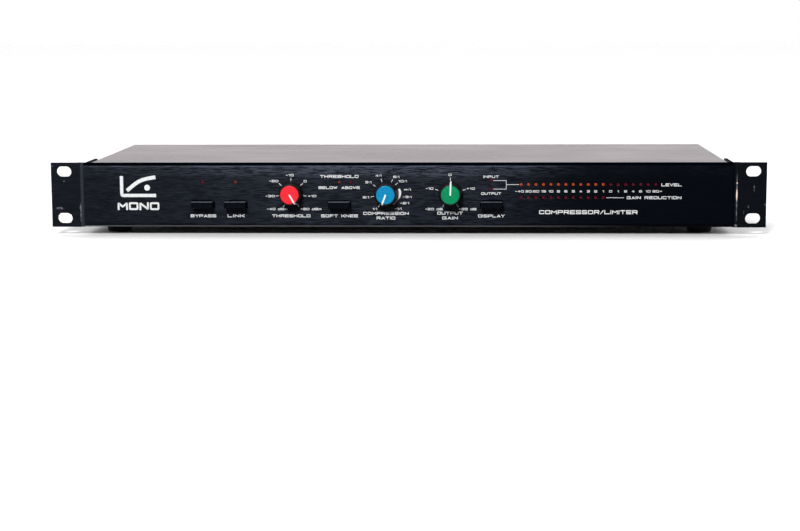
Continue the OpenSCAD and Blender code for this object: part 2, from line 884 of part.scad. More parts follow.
// Barrier strip: a base bar, a barrier beside each terminal and solder tails inside
module terminal_block() {
    half = terminal_count * terminal_pitch / 2;
    depth = 8.5;
    color([0.08, 0.08, 0.08])
        difference() {
            union() {
                span([terminal_x - half - 6, rear_y, -8], [terminal_x + half + 6, rear_y + 4, 8]);
                span([terminal_x - half, rear_y, -8], [terminal_x + half, rear_y + depth, 8]);
                for (i = [0 : terminal_count])
                    span([terminal_x - half + i * terminal_pitch - 0.8, rear_y, -8],
                        [terminal_x - half + i * terminal_pitch + 0.8, rear_y + depth + 4.5, 8]);
                for (i = [0 : terminal_count - 1])
                    span([terminal_places()[i] - 1.5, rear_in_y - 5, -1.2],
                        [terminal_places()[i] + 1.5, rear_y + over, 1.2]);
            }
            for (x = terminal_places())
                rod_y(x, 0, m3[0] + gap, rear_y + 1.5, rear_y + depth + over);
        }
}

function terminal_places() =
    [for (i = [0 : terminal_count - 1]) terminal_x + (i - (terminal_count - 1) / 2) * terminal_pitch];

module terminal_screws() {
    color("silver")
        for (x = terminal_places())
            translate([x, rear_y + 8.5, 0]) rotate([-90, 0, 0]) pan_screw(m3, 6.5);
}

module jack_sockets() {
    color([0.09, 0.09, 0.09])
        for (x = jack_at)
            difference() {
                union() {
                    span([x - 8, jack_mouth_y - jack_bore_l - 2, -7.5], [x + 8, rear_in_y - gap, 7.5]);
                    rod_y(x, 0, bush_r, rear_in_y - over, jack_mouth_y);
                }
                rod_y(x, 0, jack_bore_r, jack_mouth_y - jack_bore_l, jack_mouth_y + over);
            }
}

module jack_nuts() {
    color("silver")
        for (x = jack_at)
            translate([x, rear_y, 0])
                rotate([-90, 0, 0]) hex_nut(7.4, bush_r + gap, 2.4);
}

module trimmer_housing() {
    color([0.1, 0.2, 0.5])
        difference() {
            span([trim_x - 5, board_rear_y - 16, board_top], [trim_x + 5, board_rear_y - 8, board_top + 10]);
            rod_y(trim_x, trim_z, trim_r + gap, board_rear_y - 13, board_rear_y);
        }
}

module trim_screw() {
    end_y = rear_in_y + 0.6;
    color("ivory")
        difference() {
            rod_y(trim_x, trim_z, trim_r, board_rear_y - 12.8, end_y);
            span([trim_x - 2, end_y - 0.9, trim_z - 0.3], [trim_x + 2, end_y + over, trim_z + 0.3]);
        }
}

front_fascia();
fascia_nuts();
rack_ear_left();
rack_ear_right();
ear_screws();
chassis_tray();
top_cover();
cover_screws();
rear_panel();
rear_panel_screws();
rubber_feet();
foot_screws();
threshold_knob();
threshold_cap();
threshold_shaft();
ratio_knob();
ratio_cap();
ratio_shaft();
gain_knob();
gain_cap();
gain_shaft();
pot_housings();
pot_nuts();
bypass_button();
bypass_plunger();
link_button();
link_plunger();
soft_knee_button();
soft_knee_plunger();
display_button();
display_plunger();
switch_housings();
switch_springs();
level_leds_amber();
level_leds_red();
reduction_leds();
status_leds_red();
status_leds_amber();
status_led_green();
display_board();
ribbon_cable();
main_board();
board_standoffs();
board_screws();
transformer_core();
transformer_coil();
transformer_strap();
transformer_screws();
filter_capacitors();
integrated_circuits();
voltage_regulators();
power_inlet();
inlet_pins();
fuse_holder();
terminal_block();
terminal_screws();
jack_sockets();
jack_nuts();
trimmer_housing();
trim_screw();
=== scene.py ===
"""Looks for a rack compressor: finishes, lettering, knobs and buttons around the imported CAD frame.

Pieces are placed from the CAD boxes. Lengths are in millimetres unless a comment says otherwise, and
MM turns them into metres. The front of the unit faces -Y and +Z is up.
"""

import json
import math

import bmesh
import bpy
from mathutils import Matrix, Vector


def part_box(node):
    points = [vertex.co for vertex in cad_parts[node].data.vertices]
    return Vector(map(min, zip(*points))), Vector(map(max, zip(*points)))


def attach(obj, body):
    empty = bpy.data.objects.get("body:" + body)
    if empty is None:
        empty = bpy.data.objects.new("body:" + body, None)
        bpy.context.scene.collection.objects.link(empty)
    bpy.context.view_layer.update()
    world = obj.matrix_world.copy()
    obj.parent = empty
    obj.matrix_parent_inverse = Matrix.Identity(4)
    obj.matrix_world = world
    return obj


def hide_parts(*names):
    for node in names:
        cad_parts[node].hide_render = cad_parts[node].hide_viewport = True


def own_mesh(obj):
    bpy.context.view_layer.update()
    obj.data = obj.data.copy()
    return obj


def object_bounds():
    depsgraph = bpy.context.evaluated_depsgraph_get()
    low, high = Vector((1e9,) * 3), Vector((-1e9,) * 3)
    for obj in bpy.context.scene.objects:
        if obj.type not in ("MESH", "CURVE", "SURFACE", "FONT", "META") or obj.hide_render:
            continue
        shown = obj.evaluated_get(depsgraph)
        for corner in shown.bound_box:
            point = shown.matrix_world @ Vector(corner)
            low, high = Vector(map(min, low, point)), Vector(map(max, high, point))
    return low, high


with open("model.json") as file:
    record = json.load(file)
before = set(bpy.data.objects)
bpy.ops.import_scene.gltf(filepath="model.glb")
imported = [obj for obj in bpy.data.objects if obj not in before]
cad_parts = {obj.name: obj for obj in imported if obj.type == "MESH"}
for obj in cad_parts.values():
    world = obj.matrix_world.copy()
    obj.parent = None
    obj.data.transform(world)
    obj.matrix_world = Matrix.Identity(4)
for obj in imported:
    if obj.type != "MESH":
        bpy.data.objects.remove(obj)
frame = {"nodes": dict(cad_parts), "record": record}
cad_low, cad_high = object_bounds()

MM = 0.001
NODES = frame["nodes"]


# ---- places taken from the CAD


def centre_of(node):
    """Centre of a CAD node's box, in mm."""
    low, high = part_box(node)
    return (low + high) / 2 / MM


def low_of(node):
    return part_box(node)[0] / MM


def high_of(node):
    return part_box(node)[1] / MM


FRONT_Y = low_of("front_fascia").y
REAR_Y = high_of("rear_panel").y
LENS_BACK_Y = 2.0  # back of the lamps' lenses, where their leads come out


# ---- materials


class Nodes:
    """A node tree, with short calls for the nodes used here."""

    def __init__(self, tree):
        self.tree = tree

    def feed(self, target, value):
        """Links a socket to an input, or sets the input to a value."""
        if isinstance(value, bpy.types.NodeSocket):
            self.tree.links.new(value, target)
        else:
            target.default_value = value

    def node(self, kind, output=0, **inputs):
        made = self.tree.nodes.new(kind)
        for name, value in inputs.items():
            self.feed(made.inputs[name.replace("_", " ")], value)
        return made.outputs[output]

    def math(self, operation, a, b=0.0, clamp=False):
        made = self.tree.nodes.new("ShaderNodeMath")
        made.operation = operation
        made.use_clamp = clamp
        self.feed(made.inputs[0], a)
        self.feed(made.inputs[1], b)
        return made.outputs[0]

    def times(self, a, b, clamp=False):
        return self.math("MULTIPLY", a, b, clamp)

    def ramp(self, value, low, high, to_low=0.0, to_high=1.0):
        """Maps value from the range low..high to to_low..to_high, clamped and smoothed."""
        made = self.tree.nodes.new("ShaderNodeMapRange")
        made.interpolation_type = "SMOOTHSTEP"
        for name, given in (("Value", value), ("From Min", low), ("From Max", high),
                            ("To Min", to_low), ("To Max", to_high)):
            self.feed(made.inputs[name], given)
        return made.outputs[0]

    def blend(self, share, colour_a, colour_b):
        made = self.tree.nodes.new("ShaderNodeMix")
        made.data_type = "RGBA"
        self.feed(made.inputs[0], share)
        for index, colour in ((6, colour_a), (7, colour_b)):
            plain = not isinstance(colour, bpy.types.NodeSocket)
            self.feed(made.inputs[index], (*colour, 1) if plain else colour)
        return made.outputs[2]


class Finish(Nodes):
    """A material made of nodes around one shader."""

    def __init__(self, name, colour, roughness, metallic=0.0, specular=0.5, coat=0.0):
        self.material = bpy.data.materials.new(name)
        self.material.use_nodes = True
        super().__init__(self.material.node_tree)
        self.shader = self.tree.nodes["Principled BSDF"]
        self.set("Base Color", (*colour, 1))
        self.set("Roughness", roughness)
        self.set("Metallic", metallic)
        self.set("Specular IOR Level", specular)
        self.set("Coat Weight", coat)
        self.place = self.node("ShaderNodeTexCoord", "Object")

    def set(self, name, value):
        """Sets a shader input to a value or links a socket to it."""
        self.feed(self.shader.inputs[name], value)

    def noise(self, per_mm, detail=3.0, rough=0.55):
        """Fractal noise with per_mm features to a millimetre, given once or for x, y and z."""
        each = per_mm if isinstance(per_mm, tuple) else (per_mm,) * 3
        scaled = self.node("ShaderNodeMapping", Vector=self.place, Scale=[v / MM for v in each])
        return self.node("ShaderNodeTexNoise", Vector=scaled, Scale=1.0, Detail=detail, Roughness=rough)

    def vary(self, noise, low, high):
        """Spreads noise, which mostly lies between 0.3 and 0.7, over the range low..high."""
        return self.ramp(noise, 0.3, 0.7, low, high)

    def bump(self, height, depth_mm, strength, edge_mm=0.0):
        """Lights the surface as if height rose by depth_mm and its edges were rounded to edge_mm."""
        edges = {"Normal": self.rounded_normal(edge_mm)} if edge_mm else {}
        depth = depth_mm * MM
        raised = self.node("ShaderNodeBump", Height=height, Distance=depth, Strength=strength, **edges)
        self.set("Normal", raised)

    def rounded_normal(self, radius_mm):
        bevel = self.tree.nodes.new("ShaderNodeBevel")
        bevel.samples = 6
        bevel.inputs["Radius"].default_value = radius_mm * MM
        return bevel.outputs[0]

    def edge_mask(self, radius_mm):
        """1 on sharp edges, 0 on flats."""
        flat = self.node("ShaderNodeNewGeometry", "Normal")
        dot = self.tree.nodes.new("ShaderNodeVectorMath")
        dot.operation = "DOT_PRODUCT"
        self.feed(dot.inputs[0], self.rounded_normal(radius_mm))
        self.feed(dot.inputs[1], flat)
        return self.ramp(dot.outputs["Value"], 0.995, 0.9)

    def axis(self, name):
        """The X, Y or Z of the place, in metres."""
        return self.node("ShaderNodeSeparateXYZ", name, Vector=self.place)

    def along(self, name, start, end):
        """Rises from 0 to 1 between two places in mm on an axis."""
        return self.ramp(self.axis(name), start * MM, end * MM)

    def spot(self, x, z, half_x, half_z):
        """1 in the middle of an oval on the panel's face, fading to 0 at its rim. Lengths in mm."""
        across = self.math("DIVIDE", self.math("SUBTRACT", self.axis("X"), x * MM), half_x * MM)
        along = self.math("DIVIDE", self.math("SUBTRACT", self.axis("Z"), z * MM), half_z * MM)
        squares = self.math("ADD", self.times(across, across), self.times(along, along))
        return self.ramp(squares, 1.0, 0.35)

    def spots(self, places):
        """Spots on the panel's face and round its bends."""
        total = self.spot(*places[0])
        for place in places[1:]:
            total = self.math("MAXIMUM", total, self.spot(*place))
        return self.times(total, self.near_front())

    def near_front(self):
        """1 on the panel's face and its bends, 0 further back."""
        return self.along("Y", FRONT_Y + 3.0, FRONT_Y + 1.8)

    def tilt(self):
        """1 where the surface faces up, 0 where it is upright, -1 where it faces down."""
        return self.node("ShaderNodeSeparateXYZ", "Z", Vector=self.node("ShaderNodeNewGeometry", "Normal"))

    def upward(self):
        """1 where the surface faces well up, 0 where it is upright."""
        return self.ramp(self.tilt(), 0.12, 0.45)


def shade(colour, factor):
    """The colour made darker or lighter."""
    return tuple(min(1, part * factor) for part in colour)


COOL = (0.72, 0.84, 1.0, 1)
WARM = (1.0, 0.935, 0.96, 1)


# Places in mm between which the light painted on the panel changes, and where highlights are painted along
# its top and bottom bends.
PAINTED_SHEEN_DIES_RIGHT = (140, 30)        # x
PAINTED_SHEEN_GROWS_RIGHT = (-200, -60)     # x
PAINTED_SHEEN_GROWS_UP = (9, 18)            # z
PAINTED_GLINT_Z = 19.4                   # where the top bend catches the light
PAINTED_LOW_HIGHLIGHT_Z = (-20.6, -21.2)         # where the bottom bend is paler
PAINTED_LOW_HIGHLIGHT_FADES = (170, 50)          # x


def brushed_anodised():
    """Black anodised aluminium brushed along the panel, with short streaks.

    Its painted highlight, standing for the light on it, is strongest left of the middle and near the top,
    and it all but dies out to the right.
    """
    made = Finish("brushed_black", (0.004, 0.005, 0.008), 0.36, specular=0.1)
    made.set("Specular Tint", COOL)
    fine = made.noise((0.06, 0.06, 6.0), 2)
    streaks = made.noise((0.14, 0.1, 1.7), 4, 0.62)
    patches = made.noise((0.03, 0.02, 0.09), 3)
    # Painted highlight: the panel's colour is painted lighter left of the middle and towards the top, as
    # lit.
    left = made.along("X", *PAINTED_SHEEN_DIES_RIGHT)
    high = made.along("Z", *PAINTED_SHEEN_GROWS_UP)
    upright = made.ramp(made.upward(), 0.0, 1.0, 1.0, 0.0)

    middle = made.times(made.along("X", *PAINTED_SHEEN_GROWS_RIGHT), made.ramp(high, 0.0, 1.0, 0.07, 0.44))
    painted_sheen = made.math("ADD", made.ramp(high, 0.0, 1.0, 0.07, 0.13), middle)
    painted_sheen = made.times(painted_sheen, made.ramp(streaks, 0.38, 0.62, 0.0, 2.1))
    painted_sheen = made.times(painted_sheen, made.vary(patches, 0.75, 1.3))
    # A thin highlight painted along the top bend, standing for the light it catches.
    from_bend = made.math("ABSOLUTE", made.math("SUBTRACT", made.axis("Z"), PAINTED_GLINT_Z * MM))
    painted_glint = made.times(made.ramp(from_bend, 0.5 * MM, 0.1 * MM), made.ramp(streaks, 0.35, 0.6, 0.1, 0.7))
    painted_sheen = made.times(made.math("ADD", painted_sheen, painted_glint), upright)
    share = made.times(painted_sheen, made.ramp(left, 0.0, 1.0, 0.04, 1.0), clamp=True)
    # From the black to the colour of the painted highlight, darker to the right as painted shade.
    base = made.blend(share, (0.0004, 0.001, 0.0024), (0.05, 0.057, 0.082))
    # A pale highlight painted along the bottom bend, fading out to the right.
    painted_low_highlight = made.times(made.along("Z", *PAINTED_LOW_HIGHLIGHT_Z), made.along("X", *PAINTED_LOW_HIGHLIGHT_FADES))
    base = made.blend(painted_low_highlight, base, (0.3, 0.32, 0.36))

    worn = made.times(made.edge_mask(0.3), made.ramp(made.noise(0.3), 0.62, 0.7))
    made.set("Base Color", made.blend(made.times(worn, 0.6), base, (0.2, 0.2, 0.21)))
    gloss = made.ramp(made.upward(), 0.0, 1.0, 0.1, 0.0)
    made.set("Specular IOR Level", made.times(gloss, made.ramp(left, 0.0, 1.0, 0.6, 1.0)))
    made.set("Roughness", made.vary(fine, 0.4, 0.32))
    made.set("Anisotropic", 0.6)
    made.set("Tangent", made.node("ShaderNodeCombineXYZ", Z=1.0))
    made.bump(fine, 0.004, 0.5)
    return made.material


# Places where an ear's finish is rubbed through, as x, z, half width and half height in mm.
EAR_RUBS = [(221.5, 0.2, 0.55, 4.6), (221.6, 8.2, 0.5, 0.7)]
EAR_SCUFFS = [
    (221.5, -2, 0.5, 19), (-221.5, -12, 0.45, 8), (-235.8, -9.0, 3.0, 0.95), (-221.7, -8.6, 0.6, 1.9),
    (-232.5, 9.4, 0.6, 0.5), (229.4, -7.6, 0.5, 1.3), (233.0, 4.4, 0.4, 2.4), (240.6, -6.4, 0.7, 0.6),
    (221.3, -20.6, 1.4, 0.9), (226.4, -12.0, 0.4, 1.6), (-240.4, 19.6, 0.6, 0.7),
]
PAINTED_BEND_LIGHT_X = (-221.8, -220.3)  # where the left ear bends back


def ear_paint():
    """Black ear with a fine horizontal grain, rubbed to bare metal in a few places, and painted lighter on
    the left as lit.
    """
    made = Finish("ear_black", (0.004, 0.005, 0.008), 0.36, specular=0.1)
    made.set("Specular Tint", COOL)
    made.set("Specular IOR Level", made.ramp(made.upward(), 0.0, 1.0, 0.1, 0.0))
    grain = made.noise((0.09, 0.09, 2.2), 3)
    # The left ear is painted lighter than the right, standing for the light falling from the left.
    painted_light_left = made.along("X", 100, -100)
    low = made.blend(painted_light_left, (0.0016, 0.0022, 0.0036), (0.0036, 0.0046, 0.0075))
    high = made.blend(painted_light_left, (0.004, 0.005, 0.008), (0.009, 0.011, 0.016))
    base = made.blend(made.ramp(grain, 0.4, 0.7), low, high)
    # A highlight is painted on the left ear's bend, lightening the shade that lies there.
    bend = made.times(made.times(made.along("X", *PAINTED_BEND_LIGHT_X), made.near_front()), painted_light_left)
    base = made.blend(made.times(bend, 0.5), base, (0.07, 0.076, 0.095))
    ragged = made.ramp(made.noise((1.4, 1.4, 0.9), 4), 0.36, 0.6)
    scuffed = made.times(made.spots(EAR_SCUFFS), ragged)
    base = made.blend(made.times(scuffed, 0.55), base, (0.3, 0.31, 0.34))
    ragged = made.ramp(made.noise((0.9, 0.9, 0.5), 3), 0.25, 0.42)
    rubbed = made.times(made.spots(EAR_RUBS), ragged)
    edges = made.times(made.edge_mask(0.35), made.ramp(made.noise(0.5, 4), 0.6, 0.68))
    base = made.blend(made.times(edges, 0.4), base, (0.3, 0.3, 0.32))
    made.set("Base Color", made.blend(rubbed, base, (0.95, 0.72, 0.6)))
    made.set("Roughness", made.vary(grain, 0.42, 0.32))
    made.bump(grain, 0.01, 0.5)
    return made.material


def case_paint():
    """Semi-gloss black paint with a faint peel, rubbed through to the steel along its edges."""
    made = Finish("case_paint", (0.012, 0.012, 0.013), 0.26, specular=0.5)
    made.set("Specular Tint", (1.0, 0.915, 0.95, 1))
    peel = made.noise(0.45, 3)
    haze = made.noise((0.01, 0.014, 0.02), 4)
    base = made.blend(haze, (0.008, 0.008, 0.009), (0.02, 0.02, 0.021))
    patches = made.ramp(made.noise(0.35, 5), 0.64, 0.84)
    worn = made.times(made.edge_mask(0.35), patches, clamp=True)
    made.set("Base Color", made.blend(worn, base, (0.4, 0.39, 0.37)))
    made.set("Metallic", worn)
    made.set("Roughness", made.vary(haze, 0.23, 0.28))
    made.bump(peel, 0.012, 0.3, edge_mm=0.5)
    return made.material


def knob_nylon():
    """Matt black nylon with a fine speckle."""
    made = Finish("knob_black", (0.008, 0.008, 0.01), 0.4, specular=0.16)
    speckle = made.noise(3.0, 3)
    made.set("Base Color", made.blend(speckle, (0.003, 0.003, 0.004), (0.013, 0.013, 0.016)))
    made.set("Roughness", made.vary(speckle, 0.34, 0.5))
    made.bump(speckle, 0.012, 0.5)
    return made.material


def cap_plastic(name, colour):
    """Moulded coloured plastic with a satin face and a little tone variation."""
    made = Finish(name, colour, 0.36, specular=0.05, coat=0.3)
    made.set("Coat Roughness", 0.15)
    cloud = made.noise(0.35, 4)
    made.set("Base Color", made.blend(made.ramp(cloud, 0.35, 0.65), shade(colour, 0.88), colour))
    texture = made.noise(6.0, 2)
    made.set("Roughness", made.vary(texture, 0.3, 0.44))
    made.bump(texture, 0.006, 0.4)
    return made.material


def button_plastic():
    """Black key, a little dusty, with a highlight painted grey along its upper rolled edge, patchy with
    the dust.
    """
    made = Finish("button_black", (0.004, 0.005, 0.007), 0.28, specular=0.08)
    made.set("Specular Tint", COOL)
    dust = made.noise(1.2, 5)
    base = made.blend(made.ramp(dust, 0.5, 0.75), (0.0012, 0.0018, 0.0036), (0.004, 0.005, 0.008))
    # A painted highlight: the upper rolled edge is painted greyer, patchy where the dust noise is low.
    rolled = made.times(made.ramp(made.tilt(), 0.2, 0.5), made.ramp(made.tilt(), 0.96, 0.86))
    painted_edge_highlight = made.times(rolled, made.ramp(dust, 0.2, 0.5))
    made.set("Base Color", made.blend(painted_edge_highlight, base, (0.11, 0.118, 0.14)))
    made.set("Roughness", made.vary(dust, 0.24, 0.34))
    made.bump(dust, 0.0015, 0.3)
    return made.material


def screen_ink():
    """Off-white silk-screen ink, a little thin in places."""
    made = Finish("screen_ink", (0.78, 0.79, 0.8), 0.55, specular=0.3)
    thin = made.noise(1.6, 4)
    made.set("Base Color", made.blend(made.ramp(thin, 0.3, 0.52), (0.52, 0.53, 0.55), (0.82, 0.83, 0.84)))
    made.bump(thin, 0.004, 0.4)
    return made.material


def pointer_paint():
    """White paint of the knobs' pointers."""
    made = Finish("pointer_white", (0.85, 0.85, 0.83), 0.45, specular=0.4)
    tone = made.noise(1.0, 3)
    made.set("Base Color", made.blend(tone, (0.9, 0.9, 0.88), (0.97, 0.97, 0.96)))
    return made.material


def lamp_epoxy(name, colour, glow):
    """Tinted lens, diffusing a little light from inside. Its leads, further back, are tinned metal."""
    made = Finish(name, colour, 0.3, specular=0.3)
    swirl = made.noise(1.5, 2)
    lens = made.blend(swirl, shade(colour, 0.8), colour)
    leads = made.along("Y", LENS_BACK_Y, LENS_BACK_Y + 0.1)
    made.set("Base Color", made.blend(leads, lens, (0.62, 0.62, 0.6)))
    made.set("Metallic", leads)
    made.set("Emission Color", (*colour, 1))
    made.set("Emission Strength", made.times(made.math("SUBTRACT", 1.0, leads), glow))
    return made.material


def plain_metal(name, colour, roughness, per_mm=2.0):
    """Bare or plated metal with machining marks."""
    made = Finish(name, colour, roughness, metallic=1.0)
    marks = made.noise(per_mm, 4)
    made.set("Base Color", made.blend(marks, shade(colour, 0.75), colour))
    made.set("Roughness", made.vary(marks, roughness * 0.8, roughness * 1.3))
    made.bump(marks, 0.008, 0.4)
    return made.material


def moulded(name, colour, roughness, grain_mm=0.4):
    """Moulded or sleeved part: fine spark-eroded texture and slight tone variation."""
    made = Finish(name, colour, roughness, specular=0.4)
    fine = made.noise(1 / grain_mm, 3)
    tone = made.noise(0.08, 3)
    made.set("Base Color", made.blend(tone, shade(colour, 0.8), shade(colour, 1.15)))
    made.set("Roughness", made.vary(fine, roughness * 0.85, min(1, roughness * 1.2)))
    made.bump(fine, 0.02, 0.4)
    return made.material


def circuit_board():
    """Green solder resist with darker runs of track under it."""
    made = Finish("board_green", (0.015, 0.11, 0.045), 0.35, specular=0.5)
    runs_x = made.ramp(made.noise((0.02, 0.9, 0.9), 1), 0.5, 0.52)
    runs_y = made.ramp(made.noise((0.9, 0.02, 0.9), 1), 0.5, 0.52)
    tracks = made.math("MAXIMUM", runs_x, runs_y)
    made.set("Base Color", made.blend(tracks, (0.007, 0.075, 0.028), (0.018, 0.125, 0.05)))
    made.bump(tracks, 0.03, 0.5)
    return made.material


CONDUCTOR_PITCH = 1.27  # of the ribbon cable
PLATE_THICKNESS = 0.5  # of the transformer's core plates


def ribbon():
    """Grey ribbon cable, one ridge to each conductor."""
    made = Finish("ribbon_grey", (0.5, 0.5, 0.52), 0.5)
    wave = made.math("SINE", made.times(made.axis("X"), 2 * math.pi / (CONDUCTOR_PITCH * MM)))
    # Painted shade: the grooves between the conductors are painted darker and the ridges lighter.
    made.set("Base Color", made.blend(made.ramp(wave, -1.0, 1.0), (0.36, 0.36, 0.38), (0.56, 0.56, 0.58)))
    made.bump(wave, 0.1, 0.6)
    return made.material


def laminations():
    """Varnished core plates, stacked upwards."""
    made = Finish("core_steel", (0.2, 0.2, 0.22), 0.4, metallic=0.9)
    plates = made.math("SINE", made.times(made.axis("Z"), 2 * math.pi / (PLATE_THICKNESS * MM)))
    rust = made.noise(0.3, 4)
    made.set("Base Color", made.blend(made.ramp(rust, 0.55, 0.7), (0.2, 0.2, 0.22), (0.2, 0.1, 0.05)))
    made.bump(plates, 0.05, 0.6)
    return made.material


# Plain finishes: for each slot, what the function above takes after the name.
MOULDED = {
    "black_screw": ((0.02, 0.02, 0.021), 0.35, 0.3),
    "foot_rubber": ((0.018, 0.018, 0.018), 0.8, 0.25),
    "plunger_white": ((0.8, 0.8, 0.74), 0.5),
    "switch_grey": ((0.14, 0.14, 0.15), 0.5),
    "coil_tape": ((0.65, 0.48, 0.08), 0.35, 1.2),
    "capacitor_blue": ((0.02, 0.05, 0.2), 0.25, 1.0),
    "chip_black": ((0.02, 0.02, 0.02), 0.6),
    "regulator_black": ((0.03, 0.03, 0.032), 0.45),
    "connector_black": ((0.02, 0.02, 0.021), 0.38, 0.35),
    "trimmer_blue": ((0.03, 0.12, 0.45), 0.4),
    "trimmer_white": ((0.8, 0.8, 0.7), 0.4),
}
METALS = {
    "bright_screw": ((0.66, 0.66, 0.64), 0.32),
    "shaft_metal": ((0.72, 0.72, 0.72), 0.3, (1.0, 8.0, 1.0)),
    "pot_metal": ((0.55, 0.55, 0.54), 0.4),
    "spring_steel": ((0.6, 0.6, 0.58), 0.3),
    "nickel": ((0.72, 0.7, 0.66), 0.22),
}
CAPS = {
    "cap_red": ((0.92, 0.024, 0.04),),
    "cap_blue": ((0.0, 0.25, 0.5),),
    "cap_green": ((0.0, 0.26, 0.1),),
}
LAMPS = {
    "led_amber": ((0.46, 0.06, 0.014), 0.12),
    "led_red": ((0.12, 0.0015, 0.014), 0.1),
    "led_green": ((0.001, 0.026, 0.018), 0.03),
}


def make_finishes():
    """One finish for each material slot in the record."""
    finishes = {
        "brushed_black": brushed_anodised(),
        "ear_black": ear_paint(),
        "case_paint": case_paint(),
        "knob_black": knob_nylon(),
        "button_black": button_plastic(),
        "board_green": circuit_board(),
        "ribbon_grey": ribbon(),
        "core_steel": laminations(),
    }
    tables = ((moulded, MOULDED), (plain_metal, METALS), (cap_plastic, CAPS), (lamp_epoxy, LAMPS))
    for make, table in tables:
        for slot, given in table.items():
            finishes[slot] = make(slot, *given)
    return finishes


FINISHES = make_finishes()
# The lamps over the buttons are of a duller make than those in the meter.
DULL_LAMPS = {
    "status_leds_amber": lamp_epoxy("led_amber_dull", (0.2, 0.034, 0.012), 0.06),
    "status_leds_red": lamp_epoxy("led_red_dull", (0.12, 0.001, 0.012), 0.1),
}
INK = screen_ink()
POINTER = pointer_paint()


# ---- mesh helpers


def make_piece(name, skin, slot, body, smooth_deg=35, material=None):
    """A mesh from (points in mm, faces), riding on a CAD body. It has its slot's finish or its own."""
    vertices, faces = skin
    mesh = bpy.data.meshes.new(name)
    mesh.from_pydata([Vector(v) * MM for v in vertices], [], faces)
    cleaner = bmesh.new()
    cleaner.from_mesh(mesh)
    bmesh.ops.remove_doubles(cleaner, verts=cleaner.verts, dist=1e-7)
    bmesh.ops.recalc_face_normals(cleaner, faces=cleaner.faces)
    cleaner.to_mesh(mesh)
    cleaner.free()
    mesh.polygons.foreach_set("use_smooth", [True] * len(mesh.polygons))
    mesh.set_sharp_from_angle(angle=math.radians(smooth_deg))
    mesh.materials.append(material or FINISHES[slot])
    piece = bpy.data.objects.new(name, mesh)
    bpy.context.scene.collection.objects.link(piece)
    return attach(piece, body)


def loft(rings):
    """Points and faces of a closed skin through rings of equal length, capped at both ends."""
    count = len(rings[0])
    vertices = [point for ring in rings for point in ring]
    faces = []
    for level in range(len(rings) - 1):
        start = level * count
        for i in range(count):
            j = (i + 1) % count
            faces.append((start + i, start + j, start + count + j, start + count + i))
    last = (len(rings) - 1) * count
    faces.append(tuple(range(count - 1, -1, -1)))
    faces.append(tuple(range(last, last + count)))
    return vertices, faces


def circle(centre, radius, y, count=96):
    """Ring about a knob's axis, facing the front."""
    return [
        (centre.x + radius * math.sin(2 * math.pi * i / count), y,
         centre.z + radius * math.cos(2 * math.pi * i / count))
        for i in range(count)
    ]


# ---- lettering

# Strokes of each character on a grid 4 wide and 6 high. Strokes are split by "/", points by spaces.
GLYPHS = {
    "A": "0.2,0 2,6 3.8,0/1,1.5 3,1.5",
    "B": "0,0 0,6/0,6 3.8,6 3.8,3.1 0.6,3.1/3.2,3.1 4,3.1 4,0 0,0",
    "C": "4,5 4,6 0,6 0,0 4,0 4,1",
    "D": "0,0 0,6/0,6 4,6 4,0 0,0",
    "E": "0,0 0,6/4,6 0,6/0,0 4,0/0.6,3 3.6,3",
    "F": "0,0 0,6/4,6 0,6/0.6,3 3.4,3",
    "G": "4,6 0,6 0,0 4,0 4,3 2.4,3",
    "H": "0,0 0,6/4,0 4,6/0.6,3 3.4,3",
    "I": "0,0 0,6",
    "K": "0,0 0,6/3.8,6 1,3 3.8,0",
    "L": "0,6 0,0/0,0 4,0",
    "M": "0,0 0,6 2.2,2.4 4.4,6 4.4,0",
    "N": "0,0 0,6 4,0 4,6",
    "O": "0,0 0,6 4,6 4,0 0,0",
    "P": "0,0 0,6/0,6 4,6 4,2.6 0.6,2.6",
    "R": "0,0 0,6/0,6 4,6 4,2.8 0.6,2.8/2.6,2.4 3.8,0",
    "S": "4,5.6 4,6 0,6 0,3 4,3 4,0 0,0 0,0.4",
    "T": "0,6 4,6/2,5.4 2,0",
    "U": "0,6 0,0 4,0 4,6",
    "V": "0.2,6 2,0 3.8,6",
    "W": "0.2,6 1.3,0 2.5,5 3.7,0 4.8,6",
    "Y": "0.2,6 2,3 3.8,6/2,2.8 2,0",
    "d": "4,6 4,0 0,0 0,4 3.4,4",
    "m": "0,0 0,4 4,4 4,0/2,3.4 2,0",
    "0": "0,0 0,6 4,6 4,0 0,0",
    "1": "0.2,5 1.6,6 1.6,0",
    "2": "0,5.6 0,6 4,6 4,3 0,3 0,0 4,0",
    "3": "0,6 4,6 4,0 0,0/0.8,3 3.4,3",
    "4": "3,0 3,6 0,1.8 4,1.8",
    "5": "4,6 0,6 0,3.4 4,3.4 4,0 0,0",
    "6": "4,6 0,6 0,0 4,0 4,3.3 0.6,3.3",
    "7": "0,6 4,6 1.6,0",
    "8": "0,0 0,6 4,6 4,0 0,0/0.6,3 3.4,3",
    "-": "0.5,3 2.7,3",
    "+": "0.5,3 3.5,3/2,1.3 2,4.7",
    ":": "0,0.9 0,1.1/0,4.3 0,4.5",
    "/": "0.2,0 2.4,6",
    "&": "2.6,3 1.7,4.3 0.6,4.3 0,3 0.6,1.7 1.7,1.7 3.5,4.3 4.6,4.3 5.2,3 4.6,1.7 3.5,1.7 2.6,3",
    " ": "",
}
CORNER = 0.9          # how far a stroke's corner is rounded, in grid units
LETTER_GAP = 1.5      # space between characters, in grid units
SPACE_WIDTH = 2.2     # in grid units
INK_THICKNESS = 0.05
INK_STEP = 0.012  # each stroke lies this much higher than the last, so crossing strokes share no face


def strokes_of(character):
    """A character's strokes as lists of points, and its width."""
    text = GLYPHS[character]
    if not text:
        return [], SPACE_WIDTH
    strokes = [
        [Vector(map(float, point.split(","))) for point in stroke.split()]
        for stroke in text.split("/")
    ]
    return strokes, max(point.x for stroke in strokes for point in stroke)


